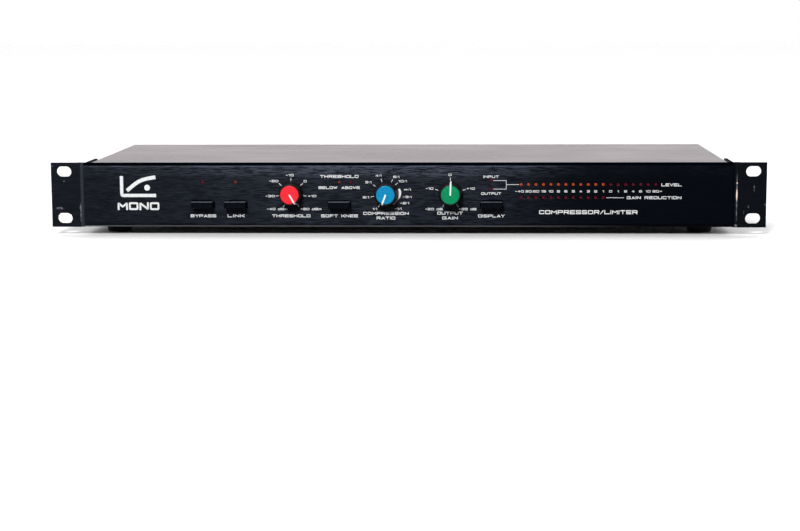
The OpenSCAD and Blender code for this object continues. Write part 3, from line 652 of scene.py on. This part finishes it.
def rounded(points, radius, steps=3):
    """The path with each corner replaced by a short curve."""
    closed = (points[0] - points[-1]).length < 1e-6
    corners = points[:-1] if closed else points
    count = len(corners)
    path = []
    for i, corner in enumerate(corners):
        if not closed and i in (0, count - 1):
            path.append(corner)
            continue
        before = corners[i - 1] - corner
        after = corners[(i + 1) % count] - corner
        start = corner + before.normalized() * min(radius, before.length * 0.45)
        end = corner + after.normalized() * min(radius, after.length * 0.45)
        for k in range(steps + 1):
            t = k / steps
            path.append(start * (1 - t) ** 2 + corner * (2 * t * (1 - t)) + end * t**2)
    return path, closed


def ribbon_sides(path, closed, width):
    """Left and right edges of a pen stroke along the path."""
    left, right = [], []
    count = len(path)
    for i, point in enumerate(path):
        back = path[i - 1] if closed or i else point
        ahead = path[(i + 1) % count] if closed or i < count - 1 else point
        incoming = (point - back).normalized() if (point - back).length else (ahead - point).normalized()
        outgoing = (ahead - point).normalized() if (ahead - point).length else incoming
        along = (incoming + outgoing).normalized()
        side = Vector((-along.y, along.x))
        spread = width / 2 / max(0.5, side.dot(Vector((-incoming.y, incoming.x))))
        left.append(point + side * spread)
        right.append(point - side * spread)
    return left, right


def squared(path, reach):
    """The path with both ends carried on by reach."""
    first = path[0] + (path[0] - path[1]).normalized() * reach
    last = path[-1] + (path[-1] - path[-2]).normalized() * reach
    return [first, *path[1:-1], last]


class Print:
    """Flat ink shapes gathered into one mesh on a face that looks along -Y or +Y."""

    def __init__(self, y, facing):
        self.y = y
        self.facing = facing
        self.laid = 0
        self.vertices = []
        self.faces = []

    def depths(self):
        """How far the back and the face of the next stroke stand out."""
        self.laid += 1
        return 0.0, INK_THICKNESS + INK_STEP * (self.laid % 4)

    def slab(self, outline):
        """A thin prism over a convex outline of (x, z) points."""
        start = len(self.vertices)
        count = len(outline)
        for depth in self.depths():
            self.vertices += [(p[0], self.y + self.facing * depth, p[1]) for p in outline]
        self.faces.append(tuple(range(start, start + count)))
        self.faces.append(tuple(range(start + 2 * count - 1, start + count - 1, -1)))
        for i in range(count):
            j = (i + 1) % count
            self.faces.append((start + i, start + j, start + count + j, start + count + i))

    def strip(self, left, right, closed=False):
        """A thin band between two edges, with its own closed walls."""
        start = len(self.vertices)
        count = len(left)
        for depth in self.depths():
            for edge in (left, right):
                self.vertices += [(p[0], self.y + self.facing * depth, p[1]) for p in edge]
        lower, upper = start, start + 2 * count
        for i in range(count if closed else count - 1):
            j = (i + 1) % count
            self.faces.append((lower + i, lower + j, lower + count + j, lower + count + i))
            self.faces.append((upper + i, upper + count + i, upper + count + j, upper + j))
            self.faces.append((lower + i, upper + i, upper + j, lower + j))
            self.faces.append((lower + count + i, lower + count + j, upper + count + j, upper + count + i))
        if not closed:
            for i in (0, count - 1):
                self.faces.append((lower + i, lower + count + i, upper + count + i, upper + i))

    def pen(self, points, width, radius=0.0, reach=0.0):
        """A stroke of the given width through (x, z) points."""
        path = [Vector(p) for p in points]
        path, closed = rounded(path, radius) if radius else (path, False)
        if not closed:
            path = squared(path, reach)
        self.strip(*ribbon_sides(path, closed, width), closed)

    def text(self, words, centre, height, width, weight=0.22):
        """Words centred on (x, z), stretched to width. weight is the stroke over the height."""
        pen = height * weight
        unit_z = (height - pen) / 6
        advances = []
        cursor = 0.0
        for character in words:
            strokes, wide = strokes_of(character)
            advances.append((strokes, cursor))
            cursor += wide + LETTER_GAP
        unit_x = (width - pen) / (cursor - LETTER_GAP)
        mirror = -self.facing
        for strokes, offset in advances:
            for stroke in strokes:
                placed = [
                    (centre[0] + mirror * ((offset + p.x) * unit_x - (width - pen) / 2),
                     centre[1] + (p.y - 3) * unit_z)
                    for p in stroke
                ]
                self.pen(placed, pen, CORNER * min(unit_x, unit_z), pen / 2)

    def disc(self, centre, radius, count=28):
        ring = [2 * math.pi * i / count for i in range(count)]
        self.slab([(centre[0] + radius * math.cos(a), centre[1] + radius * math.sin(a)) for a in ring])

    def make(self, name):
        make_piece(name, (self.vertices, self.faces), "trimmer_white", "case", material=INK)


# ---- front lettering

LABEL_HEIGHT = 1.95
NUMBER_HEIGHT = 1.5
NUMBER_WEIGHT = 0.21      # stroke over height, as in Print.text
NUMBER_STRETCH = 1.8      # how much wider than their grid the dials' numbers are
UNIT_STRETCH = 1.62       # the same for numbers with a unit
METER_STRETCH = 1.68      # the same for the meter's numbers
TICK_IN = 8.5             # distance of a tick's ends from the knob's axis
TICK_OUT = 10.6
TICK_WIDTH = 0.36
LINE_WIDTH = 0.3

# Marks of each dial: the number, its tick's angle clockwise from straight up, and the number's centre
# from the knob's axis, across and up. "&" prints the sign for infinity.
THRESHOLD_MARKS = [("-40 dBm", -150, -9.6, -10.6), ("-30", -100, -14.2, -1.8), ("-20", -50, -11.7, 8.4),
                   ("-10", 0, -0.8, 12.4), ("0", 50, 9.7, 8.3), ("+10", 100, 14.2, -1.8),
                   ("+20 dBm", 150, 13.3, -10.6)]
RATIO_MARKS = [("1:1", -150, -7.7, -10.5), ("2:1", -103, -13.7, -2.6), ("3:1", -56, -12.0, 7.6),
               ("4:1", -19, -5.2, 12.1), ("6:1", 25, 6.9, 11.2), ("10:1", 47, 11.1, 8.3),
               ("&:1", 76, 14.3, 2.6), ("-3:1", 103, 14.1, -2.4), ("-2:1", 124, 12.4, -6.6),
               ("-1:1", 150, 7.9, -10.4)]
GAIN_MARKS = [("-20 dB", -150, -11.2, -10.6), ("-10", -75, -14.2, 3.3), ("0", 0, -0.3, 12.6),
              ("+10", 75, 13.6, 3.3), ("+20 dB", 150, 11.4, -10.6)]
METER_MARKS = "-40 30 20 15 10 8 6 5 4 3 2 1 0 1 2 4 6 10 20+".split()

# Words by the buttons and knobs: the node, the words, their centre from the node's middle, across
# and up, and their width.
BUTTON_WORDS = [("bypass_button", "BYPASS", 0, -8.05, 17.4), ("link_button", "LINK", 0, -8.05, 11.6),
                ("soft_knee_button", "SOFT KNEE", 0, -8.05, 25.0),
                ("display_button", "DISPLAY", 0, -8.05, 17.8)]
KNOB_WORDS = [("threshold_cap", "THRESHOLD", 0, -15.25, 26.0),
              ("ratio_cap", "COMPRESSION", -0.2, -13.55, 30.8), ("ratio_cap", "RATIO", -0.2, -16.7, 12.6),
              ("gain_cap", "OUTPUT", -0.3, -13.35, 17.2), ("gain_cap", "GAIN", -0.3, -16.65, 10.6),
              ("soft_knee_button", "THRESHOLD", 0, 18.7, 26.0)]
LAMP_WORDS = [("soft_knee_button", "BELOW", -7.8, 11.1, 12.6),
              ("soft_knee_button", "ABOVE", 7.6, 11.1, 12.6)]


def number(ink, words, centre, stretch):
    """A small number whose characters are stretch times as wide as their grid."""
    units = sum(strokes_of(c)[1] + LETTER_GAP for c in words) - LETTER_GAP
    width = units * NUMBER_HEIGHT / 6 * stretch + NUMBER_HEIGHT * 0.2
    ink.text(words, centre, NUMBER_HEIGHT, width, NUMBER_WEIGHT)


def labels(ink, table, height=LABEL_HEIGHT):
    """The words of one of the tables above."""
    for node, words, across, up, width in table:
        middle = centre_of(node)
        ink.text(words, (middle.x + across, middle.z + up), height, width)


def dial_scale(ink, node, marks, last_tick=180):
    """Numbers around a knob, with a tick to each up to the angle last_tick."""
    middle = centre_of(node)
    for words, angle, across, up in marks:
        turn = math.radians(angle)
        out = Vector((math.sin(turn), math.cos(turn)))
        stretch = UNIT_STRETCH if "d" in words else NUMBER_STRETCH
        number(ink, words, (middle.x + across, middle.z + up), stretch)
        if angle <= last_tick:
            ends = [(middle.x + out.x * r, middle.z + out.y * r) for r in (TICK_IN, TICK_OUT)]
            ink.pen(ends, TICK_WIDTH)


def ratio_crescent(ink):
    """The tapering arc beside the ratio dial, from infinity round to minus one."""
    middle = centre_of("ratio_cap")
    start, end = math.radians(70), math.radians(147)
    within = 8.6
    steps = 26
    inner, outer = [], []
    for i in range(steps + 1):
        t = i / steps
        a = start + (end - start) * t
        thick = 0.25 + 1.65 * math.sin(math.pi * min(1.0, t * 1.3 + 0.12)) ** 0.6 * (1 - t) ** 0.8
        for edge, radius in ((inner, within), (outer, within + thick)):
            edge.append((middle.x + radius * math.sin(a), middle.z + radius * math.cos(a)))
    ink.strip(inner, outer)


def lamp_flange():
    """Radius of a lamp's flange, the widest part of it, in mm."""
    return (high_of("level_leds_amber").z - low_of("level_leds_amber").z) / 2


def meter_marks(ink):
    """Numbers between the two lamp rows, and the words and lines that belong to them."""
    amber_low, amber_high = low_of("level_leds_amber"), high_of("level_leds_amber")
    lamp = lamp_flange()
    first = amber_low.x + lamp
    pitch = (amber_high.x - amber_low.x - 2 * lamp) / 11
    level_z = centre_of("level_leds_amber").z
    lower_z = centre_of("reduction_leds").z
    numbers_z = (level_z + lower_z) / 2 - 0.15
    for i, words in enumerate(METER_MARKS):
        sign_hangs = 1.2 * (words.endswith("+") - words.startswith("-"))
        number(ink, words, (first + i * pitch + sign_hangs, numbers_z), METER_STRETCH)
    last = high_of("level_leds_red").x - lamp
    ink.text("LEVEL", (last + 10.6, level_z - 0.2), LABEL_HEIGHT, 13.5)
    half_word = 18.3
    word_x = last + 17.4 - half_word
    ink.text("GAIN REDUCTION", (word_x, lower_z), LABEL_HEIGHT, 36.5)
    line_end = word_x - half_word - 1.9
    ink.pen([(first + 11 * pitch + 2.2, lower_z), (line_end, lower_z)], LINE_WIDTH)
    ink.text("COMPRESSOR/LIMITER", (first + 45.2, lower_z - 9.8), 2.65, 66.0)
    return first, level_z


def source_bracket(ink, first, level_z):
    """Lines that join the two source lamps to the level row."""
    lamp_x = centre_of("display_button").x - 0.2
    upper = high_of("status_leds_red").z - lamp_flange()
    lower = upper - 5.75
    bend = lamp_x + 10.1
    ink.pen([(lamp_x + 1.4, upper), (bend, upper), (bend, lower), (lamp_x + 1.4, lower)], LINE_WIDTH)
    ink.pen([(bend + LINE_WIDTH / 2, level_z), (first - 1.4, level_z)], LINE_WIDTH)
    ink.text("INPUT", (lamp_x - 0.1, upper + 2.6), 1.65, 10.4)
    ink.text("OUTPUT", (lamp_x, lower - 3.0), 1.65, 13.4)


def emblem(ink, x, z):
    """A plain graph of gain with its knee, over the word MONO."""
    ink.pen([(x - 11.2, z + 7.3), (x - 11.2, z - 5.9), (x + 12.2, z - 5.9)], 2.2, 1.2)
    knee = [(x - 7.6, z - 2.6), (x + 1.2, z + 4.6), (x + 12.0, z + 6.6)]
    ink.pen(knee, 2.5, 5.0)
    ink.disc((x + 6.2, z - 0.6), 2.0)
    ink.text("MONO", (x, z - 13.2), 5.3, 28.5, 0.24)


def front_lettering():
    """All the print on the panel."""
    ink = Print(FRONT_Y, -1)
    labels(ink, BUTTON_WORDS)
    dial_scale(ink, "threshold_cap", THRESHOLD_MARKS)
    dial_scale(ink, "ratio_cap", RATIO_MARKS, last_tick=50)
    dial_scale(ink, "gain_cap", GAIN_MARKS)
    ratio_crescent(ink)
    labels(ink, KNOB_WORDS)
    labels(ink, LAMP_WORDS, height=1.8)
    source_bracket(ink, *meter_marks(ink))
    emblem(ink, low_of("front_fascia").x + 37.0, 5.6)
    ink.make("fascia_print")


REAR_HEIGHT = 1.9  # height of the rear words
REAR_WORDS_Z = 11.6
REAR_LINE_Z = 9.6
INLET_WORD_Z = 14.2


def rear_lettering():
    """Function words over the rear connectors, read from behind."""
    ink = Print(REAR_Y, 1)
    low, high = low_of("jack_nuts"), high_of("jack_nuts")
    jacks = [low.x + 6.4, (low.x + high.x) / 2, high.x - 6.4]
    strip = centre_of("terminal_block").x
    for words, x, width in (("OUTPUT", jacks[0], 14.5), ("INPUT", jacks[1], 12.0),
                            ("DETECTOR", jacks[2], 19.5), ("OUTPUT", strip - 15, 14.5),
                            ("INPUT", strip + 15, 12.0)):
        ink.text(words, (x, REAR_WORDS_Z), REAR_HEIGHT, width)
    for start, end in ((strip - 28, strip - 1.5), (strip + 1.5, strip + 28)):
        ink.pen([(start, REAR_LINE_Z), (end, REAR_LINE_Z)], LINE_WIDTH)
    trim = centre_of("trim_screw")
    ink.text("METER TRIM", (trim.x, trim.z + 5.6), REAR_HEIGHT, 23.0)
    ink.text("FUSE", (centre_of("fuse_holder").x, REAR_WORDS_Z), REAR_HEIGHT, 10.0)
    ink.text("POWER", (centre_of("power_inlet").x, INLET_WORD_Z), REAR_HEIGHT, 13.5)
    ink.make("rear_print")


# ---- knobs

RIB_COUNT = 30
RIB_DEPTH = 0.55
RIM_INSET = 1.15          # from the skirt's radius to the front rim's
SKIRT_DEPTH = 2.2         # from the knob's back to where the grip starts
POINTER_WIDTH = 1.0


def knob_rings(node):
    """Ribbed body of revolution between the CAD knob's skirt and rim."""
    low, high = low_of(node), high_of(node)
    middle = (low + high) / 2
    skirt = (high.x - low.x) / 2
    back, front = high.y, low.y
    grip_back, grip_front = back - SKIRT_DEPTH, front + 1.0
    rim = skirt - RIM_INSET
    cap_seat = rim - 0.5
    # (radius, y, how deep the ribs are cut)
    profile = [(skirt - 0.35, back, 0), (skirt, back - 0.35, 0), (skirt, back - 1.5, 0),
               (skirt - 0.2, back - 1.8, 0), (skirt - 0.25, grip_back, 0)]
    levels = 8
    for i in range(levels + 1):
        t = i / levels
        cut = min(1.0, 4 * t, 5 * (1 - t) + 0.15)
        profile.append((skirt - 0.25 - (skirt - 0.25 - rim - 0.1) * t,
                        grip_back + (grip_front - grip_back) * t, cut))
    profile += [(rim + 0.05, grip_front - 0.25, 0), (rim, front + 0.35, 0), (rim - 0.12, front + 0.1, 0),
                (rim - 0.35, front, 0), (cap_seat, front + 0.02, 0), (cap_seat - 0.02, front + 0.9, 0)]
    count = RIB_COUNT * 8
    rings = []
    for radius, y, cut in profile:
        ring = []
        for i in range(count):
            a = 2 * math.pi * i / count
            groove = max(0.0, math.cos(RIB_COUNT * a)) ** 0.8
            r = radius - RIB_DEPTH * cut * groove
            ring.append((middle.x + r * math.sin(a), y, middle.z + r * math.cos(a)))
        rings.append(ring)
    return rings


def knob_grip(name):
    """The knob's black body, from its skirt to its rim."""
    node = name + "_knob"
    piece = make_piece(name + "_grip", loft(knob_rings(node)), "knob_black", name + "_control")
    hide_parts(node)


def knob_cap(name, slot):
    """Coloured disc with a rolled edge and a very slight dome."""
    node = name + "_cap"
    low, high = low_of(node), high_of(node)
    middle = (low + high) / 2
    radius = (high.x - low.x) / 2
    roll = 0.35
    edge = low.y + 0.4
    profile = [(radius, high.y), (radius, edge)]
    for k in range(1, 5):
        a = math.pi * k / 8
        profile.append((radius - roll + roll * math.cos(a), edge - roll * math.sin(a)))
    profile += [(radius * s, low.y + 0.05 * s * s) for s in (0.9, 0.7, 0.5, 0.3, 0.12, 0.03)]
    rings = [circle(middle, r, y) for r, y in profile]
    piece = make_piece(name + "_dial_cap", loft(rings), slot, name + "_control")
    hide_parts(node)


def knob_pointer(name, rest_angle):
    """White line from the cap's middle, over the rim and down the side of the grip."""
    cap_low, cap_high = low_of(name + "_cap"), high_of(name + "_cap")
    low, high = low_of(name + "_knob"), high_of(name + "_knob")
    middle = (cap_low + cap_high) / 2
    cap_r = (cap_high.x - cap_low.x) / 2
    skirt = (high.x - low.x) / 2
    rim = skirt - RIM_INSET
    turn = math.radians(rest_angle)
    out = Vector((math.sin(turn), 0, math.cos(turn)))
    side = Vector((out.z, 0, -out.x)) * POINTER_WIDTH / 2
    lift = 0.06
    # (distance from the axis, y) of the line's upper face, from the middle out and back
    face = [(-0.2, cap_low.y - lift), (cap_r - 0.2, cap_low.y - lift),
            (cap_r + 0.12, cap_low.y + 0.35 - lift), (rim - 0.3, low.y - lift), (rim + 0.1, low.y + 0.3),
            (rim + 0.2, low.y + 1.0), (skirt - 0.15, high.y - SKIRT_DEPTH), (skirt + lift, high.y - 1.7),
            (skirt + lift, high.y - 0.5)]
    under = [(r - 0.5, y + 0.5) for r, y in face]
    vertices = []
    for r, y in face + under:
        for s in (-1, 1):
            vertices.append(Vector((middle.x, y, middle.z)) + out * r + side * s)
    count = len(face)
    faces = []
    for i in range(count - 1):
        a, b = 2 * i, 2 * (i + count)
        faces += [(a, a + 1, a + 3, a + 2), (b, b + 2, b + 3, b + 1)]
        faces += [(a, a + 2, b + 2, b), (a + 1, b + 1, b + 3, a + 3)]
    last = 2 * (count - 1)
    faces += [(0, 2 * count, 2 * count + 1, 1), (last, last + 1, last + 2 * count + 1, last + 2 * count)]
    skin = (vertices, faces)
    make_piece(name + "_pointer", skin, "trimmer_white", name + "_control", material=POINTER)


# ---- buttons


def rounded_rectangle(middle, half_w, half_h, radius, y, steps=5):
    """Ring of points round a rectangle with rounded corners, facing the front."""
    radius = min(radius, half_w, half_h)
    ring = []
    for sx, sz, start in ((1, 1, 0), (-1, 1, 90), (-1, -1, 180), (1, -1, 270)):
        for k in range(steps + 1):
            a = math.radians(start + 90 * k / steps)
            ring.append((middle.x + sx * (half_w - radius) + radius * math.cos(a), y,
                         middle.z + sz * (half_h - radius) + radius * math.sin(a)))
    return ring


def push_button(name):
    """Key cap with rolled front edges and a shallow finger dish."""
    node = name + "_button"
    low, high = low_of(node), high_of(node)
    middle = (low + high) / 2
    half_w, half_h = (high.x - low.x) / 2, (high.z - low.z) / 2
    roll = 0.6
    dish = 0.12
    corner = 0.5
    rings = [rounded_rectangle(middle, half_w, half_h, corner, high.y)]
    for k in range(7):
        a = math.radians(90 * k / 6)
        inset = roll * (1 - math.cos(a))
        y = low.y + roll * (1 - math.sin(a))
        rings.append(rounded_rectangle(middle, half_w - inset, half_h - inset, corner, y))
    for s in (0.9, 0.75, 0.55, 0.35, 0.15):
        y = low.y + dish * (1 - s * s)
        rings.append(rounded_rectangle(middle, (half_w - roll) * s, (half_h - roll) * s, 0.4 * s, y))
    piece = make_piece(name + "_key", loft(rings), "button_black", name + "_switch", smooth_deg=50)
    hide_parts(node)


# ---- switch springs

SPRING_WIRE = 0.35  # radius of the wire
SPRING_TURNS = 5
END_PITCH = 0.8  # distance between turns where an end lies flat


def switch_spring(name):
    """Coil between the plunger's collar and the back of the housing."""
    low, high = low_of("switch_springs"), high_of("switch_springs")
    x, z = centre_of(name + "_button").x, (low.z + high.z) / 2
    radius = (high.z - low.z) / 2 - SPRING_WIRE
    front, back = low.y + SPRING_WIRE, high.y - SPRING_WIRE
    pitch = (back - front - 2 * END_PITCH) / (SPRING_TURNS - 2)
    steps, sides = 24, 10
    rings = []
    for i in range(SPRING_TURNS * steps + 1):
        turns = i / steps
        flat = min(turns, 1) + max(0, turns - SPRING_TURNS + 1)
        y = front + flat * END_PITCH + (turns - flat) * pitch
        out = Vector((math.sin(2 * math.pi * turns), 0, math.cos(2 * math.pi * turns)))
        centre = Vector((x, y, z)) + out * radius
        ring = []
        for k in range(sides):
            a = 2 * math.pi * k / sides
            across, along = SPRING_WIRE * math.cos(a), SPRING_WIRE * math.sin(a)
            ring.append(centre + out * across + Vector((0, along, 0)))
        rings.append(ring)
    piece = make_piece(name + "_spring", loft(rings), "spring_steel", "case", smooth_deg=60)
    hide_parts("switch_springs")
    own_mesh(piece)


# ---- CAD nodes that stay

BEVELS_MM = {
    "front_fascia": 0.15, "rack_ear_left": 0.35, "rack_ear_right": 0.35,
    "rubber_feet": 0.5, "power_inlet": 0.3, "terminal_block": 0.2,
    "jack_nuts": 0.2, "fuse_holder": 0.25, "jack_sockets": 0.15, "inlet_pins": 0.25,
}


def finish_cad_nodes():
    """Gives every CAD node its finish, and rounds the edges of some."""
    for entry in frame["record"]["subparts"]:
        node = NODES[entry["node"]]
        node.data.materials.clear()
        node.data.materials.append(DULL_LAMPS.get(entry["node"], FINISHES[entry["material_slot"]]))
        width = BEVELS_MM.get(entry["node"])
        if width:
            weld = node.modifiers.new("weld", "WELD")
            weld.merge_threshold = 1e-6
            bevel = node.modifiers.new("bevel", "BEVEL")
            bevel.width = width * MM
            bevel.segments = 2
            bevel.limit_method = "ANGLE"
            bevel.angle_limit = math.radians(50)
            normals = node.modifiers.new("normals", "WEIGHTED_NORMAL")
            normals.keep_sharp = False


# ---- studio

CAMERA_AT = Vector((44.7, FRONT_Y - 1215.2, 127.1))
CAMERA_HEADING = 0.0404    # turn to the left, in radians, as are the next two
CAMERA_DIP = 0.143         # tilt down
CAMERA_ROLL = -0.004
LENS = 81.5
SENSOR_WIDTH = 36
KEY_AT = (-0.31, -1.77, 1.1)    # the softbox's middle, in metres
KEY_SIZE = (0.42, 0.4)          # in metres
KEY_WATTS = 47
FLOOR_HALF = 6.0                # in metres


def make_camera():
    data = bpy.data.cameras.new("camera")
    data.lens = LENS
    data.sensor_width = SENSOR_WIDTH
    camera = bpy.data.objects.new("camera", data)
    bpy.context.scene.collection.objects.link(camera)
    ahead = Vector((-math.sin(CAMERA_HEADING) * math.cos(CAMERA_DIP),
                    math.cos(CAMERA_HEADING) * math.cos(CAMERA_DIP), -math.sin(CAMERA_DIP)))
    level = Vector((math.cos(CAMERA_HEADING), math.sin(CAMERA_HEADING), 0))
    up = level.cross(ahead)
    right = level * math.cos(CAMERA_ROLL) + up * math.sin(CAMERA_ROLL)
    top = up * math.cos(CAMERA_ROLL) - level * math.sin(CAMERA_ROLL)
    turn = Matrix((right, top, -ahead)).transposed()
    camera.matrix_world = Matrix.Translation(CAMERA_AT * MM) @ turn.to_4x4()
    bpy.context.scene.camera = camera


def make_key_light():
    """A softbox in front of the unit, high and to the left, aimed at the frame's origin."""
    data = bpy.data.lights.new("key_softbox", "AREA")
    data.shape = "RECTANGLE"
    data.size, data.size_y = KEY_SIZE
    data.energy = KEY_WATTS
    light = bpy.data.objects.new("key_softbox", data)
    bpy.context.scene.collection.objects.link(light)
    light.location = KEY_AT
    light.rotation_euler = (-Vector(KEY_AT)).to_track_quat("-Z", "Y").to_euler()


def make_world():
    """Bright behind the unit and dim in front, so the panel stays black. The camera sees white."""
    world = bpy.data.worlds.new("studio")
    bpy.context.scene.world = world
    world.use_nodes = True
    world.node_tree.nodes.clear()
    sky = Nodes(world.node_tree)
    backwards = sky.node("ShaderNodeSeparateXYZ", "Y", Vector=sky.node("ShaderNodeTexCoord", "Generated"))

    def background(front, back, tint=(1, 1, 1, 1)):
        """Light of strength front before the unit, changing to back behind it."""
        strength = sky.ramp(backwards, -0.25, 0.25, front, back)
        return sky.node("ShaderNodeBackground", Color=tint, Strength=strength)

    def pick(ray, for_others, for_ray):
        mix = sky.tree.nodes.new("ShaderNodeMixShader")
        for target, value in zip(mix.inputs, (sky.node("ShaderNodeLightPath", ray), for_others, for_ray)):
            sky.feed(target, value)
        return mix.outputs[0]

    lit = pick("Is Glossy Ray", background(0.1, 1.9), background(0.07, 1.05, WARM))
    seen = pick("Is Camera Ray", lit, background(1.0, 1.0))
    sky.feed(sky.tree.nodes.new("ShaderNodeOutputWorld").inputs["Surface"], seen)


def make_floor():
    """A plain pale floor under the feet."""
    finish = Finish("floor", (0.9, 0.9, 0.9), 0.7, specular=0.2)
    cloud = finish.noise(0.004, 2)
    pale = finish.blend(cloud, (0.95, 0.95, 0.95), (0.98, 0.98, 0.98))
    # The floor throws little light back, so the front keeps the depth of its black.
    seen = finish.node("ShaderNodeLightPath", "Is Camera Ray")
    finish.set("Base Color", finish.blend(seen, (0.22, 0.22, 0.22), pale))
    corners = [(x * FLOOR_HALF, y * FLOOR_HALF, cad_low.z)
               for x, y in ((-1, -1), (1, -1), (1, 1), (-1, 1))]
    mesh = bpy.data.meshes.new("floor")
    mesh.from_pydata(corners, [], [(0, 1, 2, 3)])
    mesh.materials.append(finish.material)
    floor = bpy.data.objects.new("floor", mesh)
    bpy.context.scene.collection.objects.link(floor)


finish_cad_nodes()
front_lettering()
rear_lettering()
# Each control with its cap's slot and its pointer's angle at rest, clockwise from straight up.
CONTROLS = (("threshold", "cap_red", 150), ("ratio", "cap_blue", -160), ("gain", "cap_green", 2))
for control, cap, angle in CONTROLS:
    knob_grip(control)
    knob_cap(control, cap)
    knob_pointer(control, angle)
for switch in ("bypass", "link", "soft_knee", "display"):
    push_button(switch)
    switch_spring(switch)
make_camera()
make_world()
make_floor()
make_key_light()
bpy.context.scene.view_settings.view_transform = "Standard"
